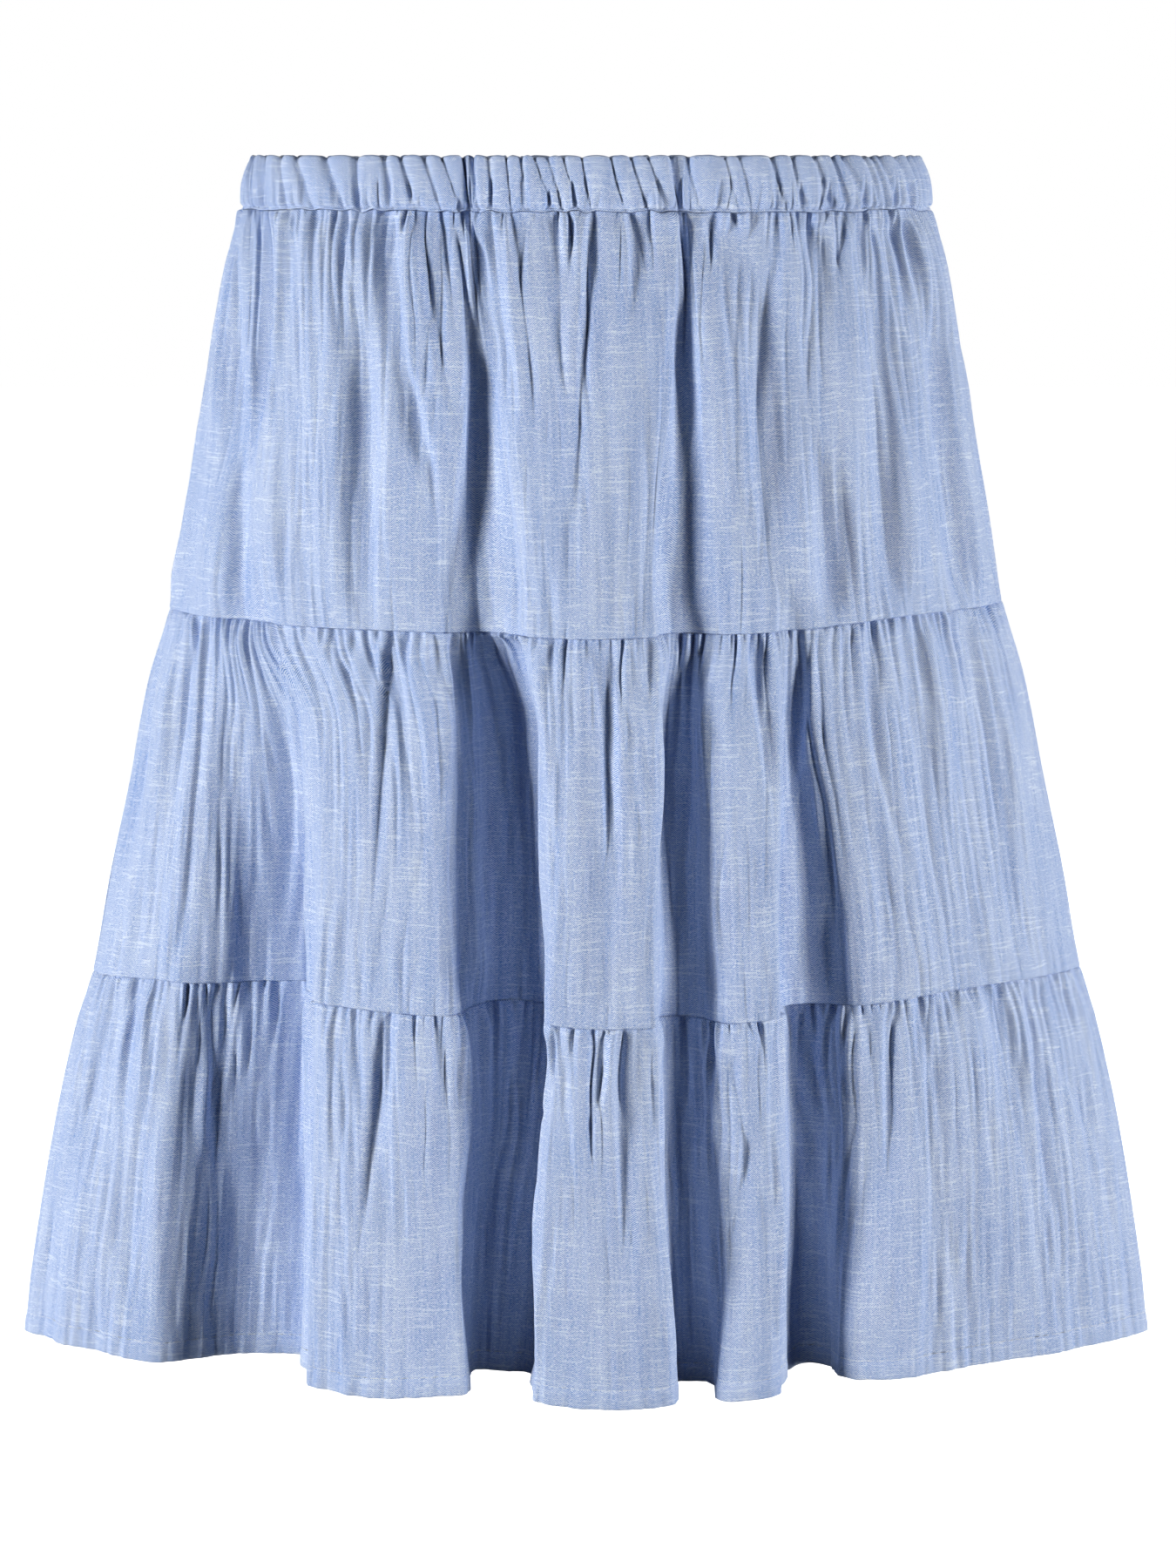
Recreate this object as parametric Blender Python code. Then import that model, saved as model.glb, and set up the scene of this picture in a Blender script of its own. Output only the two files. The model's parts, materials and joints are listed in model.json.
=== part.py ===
"""A tiered midi skirt in light chambray, held open as when it is worn.

The skirt hangs from its waist: a gathered casing round an elastic, a top tier, and two more tiers that
are each gathered onto the one above. The front faces -Y, +X is on the right of someone who looks at it,
and the origin is the middle of the waist opening, level with its top edge.

Every level of the skirt is one closed outline. It starts as a lens whose width and depths come from
PROFILE, the folds of FRONT_FOLDS and BACK_FOLDS are sunk into it, and the cloth's own bend rounds it.
Panels and casing are grids that are laid on those outlines and given their wall.
"""

import math
from collections import namedtuple

import bmesh
import bpy
import numpy as np

MM = 0.001

# Levels of the seams, in millimetres below the top edge of the waist
CASING_DROP = 27.5
SEAM_1_DROP = 240.0
SEAM_2_DROP = 441.0
HEM_DROP = 650.0

# Walls and gaps, in millimetres
CLOTH_WALL = 1.5
HEM_WALL = 2.1
HEM_FOLD = 12.0
SEAM_GAP = 0.3

# The smallest bend that the cloth takes at a fold, and how far the top tier's side seams are turned
# towards the front on the right and towards the back on the left, in millimetres
CLOTH_BEND = 3.5
SIDE_SEAM_TURN = 9.0

# How many points are worked out round one outline, and how far from a point its tangent is measured
OUTLINE_POINTS = 2400
TANGENT_STEP = 0.5

# Width and depths of the skirt at each level, all in millimetres but the power: 2 is an oval, and a
# lower power is a lens with a sharper edge at the sides
Level = namedtuple("Level", "drop half_width front_depth back_depth power")
PROFILE = (
    Level(drop=0, half_width=176.5, front_depth=79, back_depth=78, power=2.00),
    Level(drop=12, half_width=181.5, front_depth=81, back_depth=80, power=2.00),
    Level(drop=27, half_width=183.5, front_depth=83, back_depth=82, power=1.96),
    Level(drop=60, half_width=193.0, front_depth=96, back_depth=93, power=1.88),
    Level(drop=120, half_width=203.4, front_depth=114, back_depth=109, power=1.72),
    Level(drop=176, half_width=211.8, front_depth=127, back_depth=121, power=1.60),
    Level(drop=240, half_width=224.6, front_depth=138, back_depth=131, power=1.52),
    Level(drop=279, half_width=237.0, front_depth=144, back_depth=136, power=1.46),
    Level(drop=337, half_width=249.5, front_depth=147, back_depth=139, power=1.40),
    Level(drop=385, half_width=260.5, front_depth=147, back_depth=140, power=1.36),
    Level(drop=441, half_width=271.5, front_depth=146, back_depth=140, power=1.33),
    Level(drop=473, half_width=281.8, front_depth=145, back_depth=140, power=1.32),
    Level(drop=532, half_width=295.2, front_depth=141, back_depth=138, power=1.31),
    Level(drop=612, half_width=309.0, front_depth=136, back_depth=135, power=1.30),
    Level(drop=650, half_width=313.5, front_depth=134, back_depth=133, power=1.30),
)

# Stations of the large folds, in millimetres: the level, the middle of the fold across the skirt, half
# its mouth, how far it runs in, and how far each of its two walls takes to turn
Station = namedtuple("Station", "drop middle half_mouth depth left_turn right_turn")
FRONT_FOLDS = {
    "left_panel": (
        Station(drop=30, middle=-170, half_mouth=4, depth=4, left_turn=5, right_turn=4),
        Station(drop=120, middle=-172, half_mouth=6, depth=8, left_turn=7, right_turn=5),
        Station(drop=240, middle=-178, half_mouth=14, depth=9, left_turn=10, right_turn=6),
        Station(drop=290, middle=-168, half_mouth=24, depth=18, left_turn=14, right_turn=5),
        Station(drop=441, middle=-173, half_mouth=27, depth=40, left_turn=20, right_turn=5),
        Station(drop=650, middle=-183, half_mouth=29, depth=47, left_turn=20, right_turn=3),
    ),
    "left_of_centre": (
        Station(drop=30, middle=-60, half_mouth=5, depth=5, left_turn=4, right_turn=4),
        Station(drop=120, middle=-54, half_mouth=9, depth=12, left_turn=7, right_turn=7),
        Station(drop=240, middle=-50, half_mouth=15, depth=20, left_turn=8, right_turn=8),
        Station(drop=290, middle=-43, half_mouth=19, depth=42, left_turn=8, right_turn=3),
        Station(drop=441, middle=-41, half_mouth=19, depth=55, left_turn=8, right_turn=3),
        Station(drop=650, middle=-46, half_mouth=14, depth=58, left_turn=4, right_turn=3),
    ),
    "right_of_centre": (
        Station(drop=30, middle=48, half_mouth=5, depth=5, left_turn=4, right_turn=6),
        Station(drop=120, middle=53, half_mouth=8, depth=11, left_turn=5, right_turn=9),
        Station(drop=240, middle=50, half_mouth=12, depth=17, left_turn=5, right_turn=11),
        Station(drop=290, middle=48, half_mouth=10, depth=30, left_turn=3, right_turn=9),
        Station(drop=441, middle=51, half_mouth=12, depth=33, left_turn=3, right_turn=9),
        Station(drop=650, middle=59, half_mouth=8, depth=46, left_turn=3, right_turn=6),
    ),
    "right_panel": (
        Station(drop=30, middle=98, half_mouth=5, depth=1, left_turn=5, right_turn=6),
        Station(drop=120, middle=101, half_mouth=6, depth=3, left_turn=5, right_turn=8),
        Station(drop=240, middle=105, half_mouth=7, depth=6, left_turn=4, right_turn=10),
        Station(drop=290, middle=108, half_mouth=8, depth=19, left_turn=3, right_turn=10),
        Station(drop=441, middle=117, half_mouth=15, depth=28, left_turn=3, right_turn=14),
        Station(drop=650, middle=121, half_mouth=13, depth=44, left_turn=3, right_turn=12),
    ),
}
BACK_FOLDS = {
    "right_back": (
        Station(drop=30, middle=122, half_mouth=5, depth=4, left_turn=5, right_turn=5),
        Station(drop=240, middle=142, half_mouth=12, depth=10, left_turn=8, right_turn=8),
        Station(drop=290, middle=146, half_mouth=15, depth=20, left_turn=4, right_turn=9),
        Station(drop=441, middle=158, half_mouth=18, depth=29, left_turn=3, right_turn=10),
        Station(drop=650, middle=176, half_mouth=20, depth=36, left_turn=3, right_turn=11),
    ),
    "right_of_centre_back": (
        Station(drop=30, middle=38, half_mouth=5, depth=5, left_turn=4, right_turn=4),
        Station(drop=240, middle=50, half_mouth=13, depth=16, left_turn=7, right_turn=8),
        Station(drop=290, middle=54, half_mouth=15, depth=32, left_turn=3, right_turn=5),
        Station(drop=441, middle=62, half_mouth=17, depth=42, left_turn=3, right_turn=4),
        Station(drop=650, middle=70, half_mouth=17, depth=48, left_turn=3, right_turn=4),
    ),
    "left_of_centre_back": (
        Station(drop=30, middle=-40, half_mouth=5, depth=5, left_turn=4, right_turn=4),
        Station(drop=240, middle=-36, half_mouth=13, depth=17, left_turn=8, right_turn=7),
        Station(drop=290, middle=-35, half_mouth=14, depth=33, left_turn=8, right_turn=3),
        Station(drop=441, middle=-32, half_mouth=15, depth=43, left_turn=9, right_turn=3),
        Station(drop=650, middle=-30, half_mouth=16, depth=50, left_turn=9, right_turn=3),
    ),
    "left_back": (
        Station(drop=30, middle=-112, half_mouth=5, depth=3, left_turn=5, right_turn=5),
        Station(drop=240, middle=-118, half_mouth=11, depth=11, left_turn=8, right_turn=8),
        Station(drop=290, middle=-120, half_mouth=14, depth=23, left_turn=4, right_turn=8),
        Station(drop=441, middle=-126, half_mouth=17, depth=34, left_turn=3, right_turn=9),
        Station(drop=650, middle=-133, half_mouth=18, depth=42, left_turn=3, right_turn=10),
    ),
    "left_side_back": (
        Station(drop=30, middle=-160, half_mouth=4, depth=2, left_turn=5, right_turn=5),
        Station(drop=240, middle=-186, half_mouth=9, depth=4, left_turn=7, right_turn=7),
        Station(drop=290, middle=-192, half_mouth=12, depth=9, left_turn=8, right_turn=5),
        Station(drop=441, middle=-208, half_mouth=15, depth=15, left_turn=9, right_turn=4),
        Station(drop=650, middle=-229, half_mouth=17, depth=20, left_turn=9, right_turn=4),
    ),
}

# How far the cloth is drawn up at each seam line, in millimetres, at places across the skirt that are
# parts of its half width: the sides flare outwards and so hang a little shorter
Lift = namedtuple("Lift", "across seam_1 seam_2 hem")
LIFTS = (
    Lift(across=-1.00, seam_1=0.0, seam_2=0.0, hem=4.5),
    Lift(across=-0.85, seam_1=-0.5, seam_2=3.0, hem=3.5),
    Lift(across=-0.62, seam_1=0.0, seam_2=2.5, hem=0.0),
    Lift(across=-0.40, seam_1=1.0, seam_2=2.5, hem=0.0),
    Lift(across=-0.22, seam_1=0.0, seam_2=2.0, hem=3.5),
    Lift(across=0.00, seam_1=0.0, seam_2=0.5, hem=2.5),
    Lift(across=0.25, seam_1=0.0, seam_2=-2.0, hem=0.0),
    Lift(across=0.50, seam_1=0.5, seam_2=0.5, hem=4.0),
    Lift(across=0.72, seam_1=3.5, seam_2=4.0, hem=4.8),
    Lift(across=1.00, seam_1=3.8, seam_2=3.0, hem=4.5),
)

# A part of each fold's depth is a broad dip that reaches past its mouth, so that the pipes are round
ROUNDING_SHARE = 0.2
ROUNDING_REACH = 20.0

# The depth of a fold dies away where the front and back outlines close in on each other at the sides
SIDE_FADE = 0.3

# Gathers: each is a pinched trough and a crest of two columns of points
GATHERS_TOP = 58
GATHERS_MIDDLE = 64
GATHERS_BOTTOM = 68
GATHER_PLACES = (0.0, 0.36, 0.70)
GATHER_HEIGHTS = (-1.0, 0.45, 0.30)
GATHER_UNEVENNESS = 0.22
SEED = 11

# How high the gathers stand at distances below the seam that they start from, in millimetres
Relief = namedtuple("Relief", "below height")
CASING_RELIEF = (Relief(below=0, height=0.5), Relief(below=12, height=1.0), Relief(below=27, height=0.7))
TIER_RELIEF = (
    Relief(below=0, height=0.7),
    Relief(below=10, height=1.9),
    Relief(below=48, height=1.2),
    Relief(below=110, height=0.6),
    Relief(below=210, height=0.3),
)

# Cross-section of the gathered casing: how far each point lies inside the outer face, and its level
CasingPoint = namedtuple("CasingPoint", "inset drop")
CASING_SECTION = (
    CasingPoint(inset=1.5, drop=0.0),
    CasingPoint(inset=0.2, drop=3.0),
    CasingPoint(inset=0.0, drop=23.0),
    CasingPoint(inset=0.8, drop=CASING_DROP - SEAM_GAP),
    CasingPoint(inset=2.2, drop=CASING_DROP - SEAM_GAP),
    CasingPoint(inset=3.0, drop=22.0),
    CasingPoint(inset=3.0, drop=3.0),
)

# Levels of the rows of points in each tier, as parts of the tier's height
TOP_ROWS = (0.0, 0.05, 0.24, 0.58, 1.0)
MIDDLE_ROWS = (0.0, 0.05, 0.25, 0.60, 1.0)
BOTTOM_ROWS = (0.0, 0.05, 0.25, 0.58, 1.0)

CLOTH_COLOUR = (0.36, 0.47, 0.69, 1.0)
CLOTH_ROUGHNESS = 0.88


def clear_scene():
    """Remove the objects that the scene starts with."""
    for thing in list(bpy.data.objects):
        bpy.data.objects.remove(thing, do_unlink=True)


def cloth_material(name):
    """A matt chambray for one piece."""
    material = bpy.data.materials.new(name)
    material.use_nodes = True
    shader = material.node_tree.nodes["Principled BSDF"]
    shader.inputs["Base Color"].default_value = CLOTH_COLOUR
    shader.inputs["Roughness"].default_value = CLOTH_ROUGHNESS
    shader.inputs["Metallic"].default_value = 0.0
    return material


def read_smoothly(rows, value):
    """Read every column of a table at values of its first one, along smooth curves through its rows."""
    table = np.array(rows, dtype=float)
    keys = table[:, 0]
    value = np.clip(value, keys[0], keys[-1])
    last = len(keys) - 1
    row = np.minimum(np.searchsorted(keys, value, side="right") - 1, last - 1)
    before, after = np.maximum(row - 1, 0), np.minimum(row + 2, last)
    span = keys[row + 1] - keys[row]
    part = (value - keys[row]) / span
    columns = []
    for column in table.T:
        rise = column[row + 1] - column[row]
        slope_in = (column[row + 1] - column[before]) / (keys[row + 1] - keys[before]) * span
        slope_out = (column[after] - column[row]) / (keys[after] - keys[row]) * span
        curve = 3 * rise - 2 * slope_in - slope_out + part * (slope_in + slope_out - 2 * rise)
        columns.append(column[row] + part * (slope_in + part * curve))
    return rows[0]._make(columns)


def drawn_up(across, drop):
    """How far the cloth is drawn up at places across the skirt, at one level."""
    lift = read_smoothly(LIFTS, across)
    levels = (CASING_DROP, SEAM_1_DROP, SEAM_2_DROP, HEM_DROP)
    parts = [np.interp(drop, levels, row) for row in np.eye(4)[1:]]
    return parts[0] * lift.seam_1 + parts[1] * lift.seam_2 + parts[2] * lift.hem


def fold_depths(folds, across, drop):
    """How far the folds of one side run in, at places across the skirt and at one level."""
    total = np.zeros_like(across)
    for stations in folds.values():
        fold = read_smoothly(stations, drop)
        away = across - fold.middle
        distance = np.abs(away)
        turn = np.where(away < 0, fold.left_turn, fold.right_turn)
        wall = 1 / (1 + np.exp(2 * (distance - fold.half_mouth) / turn))
        wall_at_middle = 1 / (1 + np.exp(-2 * fold.half_mouth / turn))
        dip = np.exp(-((distance / (fold.half_mouth + ROUNDING_REACH)) ** 2))
        shape = (1 - ROUNDING_SHARE) * wall / wall_at_middle + ROUNDING_SHARE * dip
        total += fold.depth * shape
    return total


def spread_evenly(points, count):
    """The same closed outline, with its points at even distances along it."""
    closed = np.vstack((points, points[:1]))
    along = np.concatenate(([0.0], np.cumsum(np.linalg.norm(np.diff(closed, axis=0), axis=1))))
    places = np.arange(count) * along[-1] / count
    return np.column_stack([np.interp(places, along, column) for column in closed.T])


def round_corners(points, bend):
    """Round a closed outline of evenly spread points as cloth with a given bend would."""
    spacing = np.linalg.norm(points[1] - points[0])
    reach = int(math.ceil(3 * bend / spacing))
    steps = np.arange(-reach, reach + 1)
    weights = np.exp(-0.5 * (steps * spacing / bend) ** 2)
    weights /= weights.sum()
    wrapped = np.vstack((points[-reach:], points, points[:reach]))
    return np.column_stack([np.convolve(column, weights, mode="valid") for column in wrapped.T])


class Outline:
    """The outer face of the cloth at one level: from the left side round the front, then the back."""

    def __init__(self, drop):
        level = read_smoothly(PROFILE, drop)
        turn = np.linspace(0, 2 * math.pi, OUTLINE_POINTS, endpoint=False)
        across = -level.half_width * np.cos(turn)
        share = np.clip(1 - np.abs(np.cos(turn)) ** level.power, 0, 1) ** (1 / level.power)
        fade = np.clip(share / SIDE_FADE, 0, 1)
        fade = fade ** 2 * (3 - 2 * fade)
        front = -(level.front_depth * share - fade * fold_depths(FRONT_FOLDS, across, drop))
        back = level.back_depth * share - fade * fold_depths(BACK_FOLDS, across, drop)
        deep = np.where(turn < math.pi, front, back)
        points = spread_evenly(np.column_stack((across, deep)), OUTLINE_POINTS)
        points = round_corners(points, CLOTH_BEND)
        points[:, 0] *= level.half_width / np.abs(points[:, 0]).max()
        height = drawn_up(points[:, 0] / level.half_width, drop) - drop
        self.points = np.column_stack((points, height))
        self.closed = np.vstack((self.points, self.points[:1]))
        steps = np.linalg.norm(np.diff(self.closed[:, :2], axis=0), axis=1)
        self.along = np.concatenate(([0.0], np.cumsum(steps)))
        self.length = self.along[-1]
        self.marks = self.fold_edges(drop)

    def fold_edges(self, drop):
        """Distances along the outline of its two sides and of both edges of every fold."""
        right = int(np.argmax(self.points[:, 0]))
        front, back = slice(0, right + 1), slice(right, OUTLINE_POINTS)
        front_x, front_along = self.points[front, 0], self.along[:-1][front]
        back_x, back_along = self.points[back, 0][::-1], self.along[:-1][back][::-1]
        marks = [0.0, self.along[right]]
        for folds, x, along in ((FRONT_FOLDS, front_x, front_along), (BACK_FOLDS, back_x, back_along)):
            for stations in folds.values():
                fold = read_smoothly(stations, drop)
                for edge in (fold.middle - fold.half_mouth, fold.middle + fold.half_mouth):
                    marks.append(float(np.interp(edge, x, along)))
        return np.sort(marks)

    def place(self, distances):
        """Points at distances along the outline."""
        wrapped = np.mod(distances, self.length)
        return np.column_stack([np.interp(wrapped, self.along, column) for column in self.closed.T])

    def at(self, distances):
        """Points, level outward directions and level tangents at distances along the outline."""
        tangent = self.place(distances + TANGENT_STEP) - self.place(distances - TANGENT_STEP)
        tangent[:, 2] = 0.0
        tangent /= np.linalg.norm(tangent, axis=1)[:, None]
        outward = np.column_stack((tangent[:, 1], -tangent[:, 0], tangent[:, 2]))
        return self.place(distances), outward, tangent


class Gathering:
    """The columns of points round one tier, and how each of its gathers stands."""

    def __init__(self, gathers, reference_drop, seam_turn, seed):
        self.reference = Outline(reference_drop)
        shift = seam_turn / self.reference.length
        right_side = self.reference.along[int(np.argmax(self.reference.points[:, 0]))]
        right_seam = right_side / self.reference.length - shift
        left_seam = -shift
        random = np.random.RandomState(seed)
        half = gathers // 2
        front = left_seam + (right_seam - left_seam) * np.arange(half) / half
        back = right_seam + (1 + left_seam - right_seam) * np.arange(half) / half
        starts = np.concatenate((front, back))
        widths = np.diff(np.append(starts, 1 + left_seam))
        moves = random.uniform(-GATHER_UNEVENNESS, GATHER_UNEVENNESS, gathers) * widths
        moves[[0, half]] = 0.0
        starts = starts + moves
        widths = np.diff(np.append(starts, 1 + left_seam))
        self.places = (starts[:, None] + widths[:, None] * np.array(GATHER_PLACES)).ravel()
        strength = random.uniform(0.65, 1.3, gathers)
        self.heights = (strength[:, None] * np.array(GATHER_HEIGHTS)).ravel()
        self.fades = np.repeat(random.uniform(0.7, 1.4, gathers), len(GATHER_PLACES))
        self.front_columns = half * len(GATHER_PLACES)
        self.columns = gathers * len(GATHER_PLACES)

    def lay(self, drop, below, relief):
        """Points, outward directions and tangents of all columns at one level."""
        outline = Outline(drop)
        turns = np.repeat((-1, 0, 1), len(outline.marks))
        marks_here = np.tile(outline.marks, 3) + turns * outline.length
        marks_there = np.tile(self.reference.marks, 3) / self.reference.length + turns
        distances = np.interp(self.places, marks_there, marks_here)
        points, outward, tangent = outline.at(distances)
        height = read_smoothly(relief, below * self.fades).height
        return points + outward * (self.heights * height)[:, None], outward, tangent


def as_object(name, bm):
    """Turn a bmesh into a smooth-shaded object with its own material."""
    bmesh.ops.recalc_face_normals(bm, faces=bm.faces)
    mesh = bpy.data.meshes.new(name)
    bm.to_mesh(mesh)
    bm.free()
    mesh.shade_smooth()
    mesh.materials.append(cloth_material(name))
    thing = bpy.data.objects.new(name, mesh)
    bpy.context.collection.objects.link(thing)
    return thing


def numbered_grid(columns, rows):
    """A flat grid whose points carry the numbers of their column and row."""
    bm = bmesh.new()
    bmesh.ops.create_grid(bm, x_segments=columns - 1, y_segments=rows - 1, size=0.5)
    column_of = bm.verts.layers.int.new("column")
    row_of = bm.verts.layers.int.new("row")
    for vert in bm.verts:
        vert[column_of] = round((vert.co.x + 0.5) * (columns - 1))
        vert[row_of] = round((vert.co.y + 0.5) * (rows - 1))
    return bm, column_of, row_of


def build_panel(name, gathering, columns, top, bottom, parts, hem=False):
    """One tier panel: a wall of cloth between two levels, laid on the outlines column by column."""
    drops = [top + SEAM_GAP / 2 + (bottom - top - SEAM_GAP) * part for part in parts]
    if hem:
        drops = drops[:-1] + [bottom - HEM_FOLD, bottom]
    laid = [gathering.lay(drop, drop - top, TIER_RELIEF) for drop in drops]
    first, last = columns[0], columns[-1]
    outer, inner = {}, {}
    for row, (drop, (points, outward, tangent)) in enumerate(zip(drops, laid)):
        wall = HEM_WALL if hem and drop >= bottom - HEM_FOLD else CLOTH_WALL
        for place, column in enumerate(columns):
            number = column % gathering.columns
            edge = (column == first) - (column == last)
            point = points[number] + tangent[number] * edge * SEAM_GAP / 2
            outer[place, row] = point * MM
            inner[place, row] = (point - outward[number] * wall) * MM
    bm, column_of, row_of = numbered_grid(len(columns), len(drops))
    for vert in bm.verts:
        vert.co = outer[vert[column_of], vert[row_of]]
    bmesh.ops.triangulate(bm, faces=bm.faces, quad_method="SHORT_EDGE")
    wall_side = bmesh.ops.extrude_face_region(bm, geom=bm.faces[:], use_keep_orig=True)
    for vert in wall_side["geom"]:
        if isinstance(vert, bmesh.types.BMVert):
            vert.co = inner[vert[column_of], vert[row_of]]
    return as_object(name, bm)


def build_casing(gathering):
    """The waistband: a gathered casing round its elastic, as one ring."""
    columns, points_round = gathering.columns, len(CASING_SECTION)
    places = {}
    for row, corner in enumerate(CASING_SECTION):
        points, outward, _ = gathering.lay(corner.drop, corner.drop, CASING_RELIEF)
        for column in range(columns):
            places[column, row] = (points[column] - outward[column] * corner.inset) * MM
    bm, column_of, row_of = numbered_grid(columns + 1, points_round + 1)
    for vert in bm.verts:
        vert.co = places[vert[column_of] % columns, vert[row_of] % points_round]
    bmesh.ops.remove_doubles(bm, verts=bm.verts, dist=1e-6)
    return as_object("waistband", bm)


def build_tier(number, gathering, top, bottom, parts, hem=False):
    """The front and back panels of one tier."""
    front, every = gathering.front_columns, gathering.columns
    for side, columns in (("front", range(0, front + 1)), ("back", range(front, every + 1))):
        build_panel(f"tier{number}_{side}", gathering, columns, top, bottom, parts, hem)


def main():
    """Build the waistband and the three tiers."""
    clear_scene()
    top = Gathering(GATHERS_TOP, 0.6 * SEAM_1_DROP, SIDE_SEAM_TURN, SEED)
    middle = Gathering(GATHERS_MIDDLE, 0.5 * (SEAM_1_DROP + SEAM_2_DROP), 0.0, SEED + 1)
    bottom = Gathering(GATHERS_BOTTOM, 0.5 * (SEAM_2_DROP + HEM_DROP), 0.0, SEED + 2)
    build_casing(top)
    build_tier(1, top, CASING_DROP, SEAM_1_DROP, TOP_ROWS)
    build_tier(2, middle, SEAM_1_DROP, SEAM_2_DROP, MIDDLE_ROWS)
    build_tier(3, bottom, SEAM_2_DROP, HEM_DROP, BOTTOM_ROWS, hem=True)


main()
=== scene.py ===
"""Dresses a tiered midi skirt in crinkled light chambray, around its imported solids.

Every panel is a thin sheet of cloth that is laid on the same outlines as its solid, with the pinched
creases of its gathers pressed into it. Sizes are in millimetres until a mesh is made, which is in metres.
The front faces -Y, +X is on the right of someone who looks at it, and drops are measured down from the
top edge of the waist.
"""

from __future__ import annotations

import json
import logging
import math
from dataclasses import dataclass
from enum import Enum
from functools import lru_cache
from typing import NamedTuple, Sequence

import bmesh
import bpy
import numpy as np
from mathutils import Matrix, Vector

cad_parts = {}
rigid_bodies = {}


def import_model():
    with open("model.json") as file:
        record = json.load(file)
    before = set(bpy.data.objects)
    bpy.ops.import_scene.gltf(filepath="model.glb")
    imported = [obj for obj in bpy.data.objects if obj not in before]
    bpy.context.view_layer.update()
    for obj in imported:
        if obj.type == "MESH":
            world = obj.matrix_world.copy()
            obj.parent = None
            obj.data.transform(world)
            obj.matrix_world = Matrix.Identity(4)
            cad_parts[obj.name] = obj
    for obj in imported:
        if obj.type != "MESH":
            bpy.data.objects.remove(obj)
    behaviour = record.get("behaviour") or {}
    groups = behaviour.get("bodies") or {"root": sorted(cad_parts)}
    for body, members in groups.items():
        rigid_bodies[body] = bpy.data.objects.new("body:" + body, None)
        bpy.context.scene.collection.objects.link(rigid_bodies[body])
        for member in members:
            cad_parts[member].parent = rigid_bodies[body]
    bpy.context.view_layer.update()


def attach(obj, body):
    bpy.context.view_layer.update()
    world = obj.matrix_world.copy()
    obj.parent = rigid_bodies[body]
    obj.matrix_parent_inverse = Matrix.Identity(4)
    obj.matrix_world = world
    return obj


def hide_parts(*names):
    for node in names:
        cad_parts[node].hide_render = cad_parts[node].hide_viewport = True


log = logging.getLogger("skirt")

MM = 0.001
BODY = "root"
CLOTH_MAP = "cloth"

# Points of one mesh that are closer than this, in metres, are one point
WELD_DISTANCE = 1e-6

# Levels of the seams, in millimetres below the top edge of the waist
CASING_DROP = 27.5
SEAM_1_DROP = 240.0
SEAM_2_DROP = 441.0
HEM_DROP = 650.0

# The levels whose folds the columns of each tier keep to
TOP_REFERENCE = 0.6 * SEAM_1_DROP
MIDDLE_REFERENCE = 0.5 * (SEAM_1_DROP + SEAM_2_DROP)
BOTTOM_REFERENCE = 0.5 * (SEAM_2_DROP + HEM_DROP)

# How far the puckers pull the casing's seam up and down, over what distance that dies away, and between
# which levels it is followed. The back's places start well past the front's, so that they differ.
CASING_WAVE = 1.1
CASING_WAVE_FADE = 4.0
CASING_WAVE_LEVELS = (12.0, 45.0)
BACK_START = 1000.0

# The smallest bend that the cloth takes at a fold, and how far the top tier's side seams are turned
# towards the front on the right and towards the back on the left
CLOTH_BEND = 2.0
SIDE_SEAM_TURN = 9.0

# A wall that turns within this distance hangs straight: it turns sooner than the solid's, and runs in
# under the pipe beside it, the more the further its fold's depth is past where this starts
CRISP_TURN = 5.5
CRISP_RANGE = 2.0
CRISP_SHARE = 0.5
UNDERCUT = 6.0
UNDERCUT_START = 15.0
UNDERCUT_RANGE = 25.0

# How many points are worked out round one outline, and how far from a point its tangent is measured
OUTLINE_POINTS = 2400
TANGENT_STEP = 0.5

# A part of each fold's depth is a broad dip that reaches past its mouth, so that the pipes are round,
# and it dies away where the front and back outlines close in on each other at the sides
ROUNDING_SHARE = 0.2
ROUNDING_REACH = 20.0
SIDE_FADE = 0.3


class Side(Enum):
    """The two sides of the skirt."""

    FRONT = "front"
    BACK = "back"


class Level(NamedTuple):
    """Width and depths of the skirt at one level: a power of 2 is an oval, a lower one a lens."""

    drop: float
    half_width: float
    front_depth: float
    back_depth: float
    power: float


PROFILE = tuple(Level(*row) for row in (
    (0, 176.5, 79, 78, 2.00), (12, 181.5, 81, 80, 2.00), (27, 183.5, 83, 82, 1.96),
    (60, 193.0, 96, 93, 1.88), (120, 203.4, 114, 109, 1.72), (176, 211.8, 127, 121, 1.60),
    (240, 224.6, 138, 131, 1.52), (279, 237.0, 144, 136, 1.46), (337, 249.5, 147, 139, 1.40),
    (385, 260.5, 147, 140, 1.36), (441, 271.5, 146, 140, 1.33), (473, 281.8, 145, 140, 1.32),
    (532, 295.2, 141, 138, 1.31), (612, 309.0, 136, 135, 1.30), (650, 313.5, 134, 133, 1.30),
))


class Station(NamedTuple):
    """A large fold at one level: its middle across the skirt, half its mouth, how far it runs in, and
    how far each of its two walls takes to turn."""

    drop: float
    middle: float
    half_mouth: float
    depth: float
    left_turn: float
    right_turn: float


def fold(*rows: tuple[float, float, float, float, float, float]) -> tuple[Station, ...]:
    """One large fold, from rows in the order of a station's fields."""
    return tuple(Station(*row) for row in rows)


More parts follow.
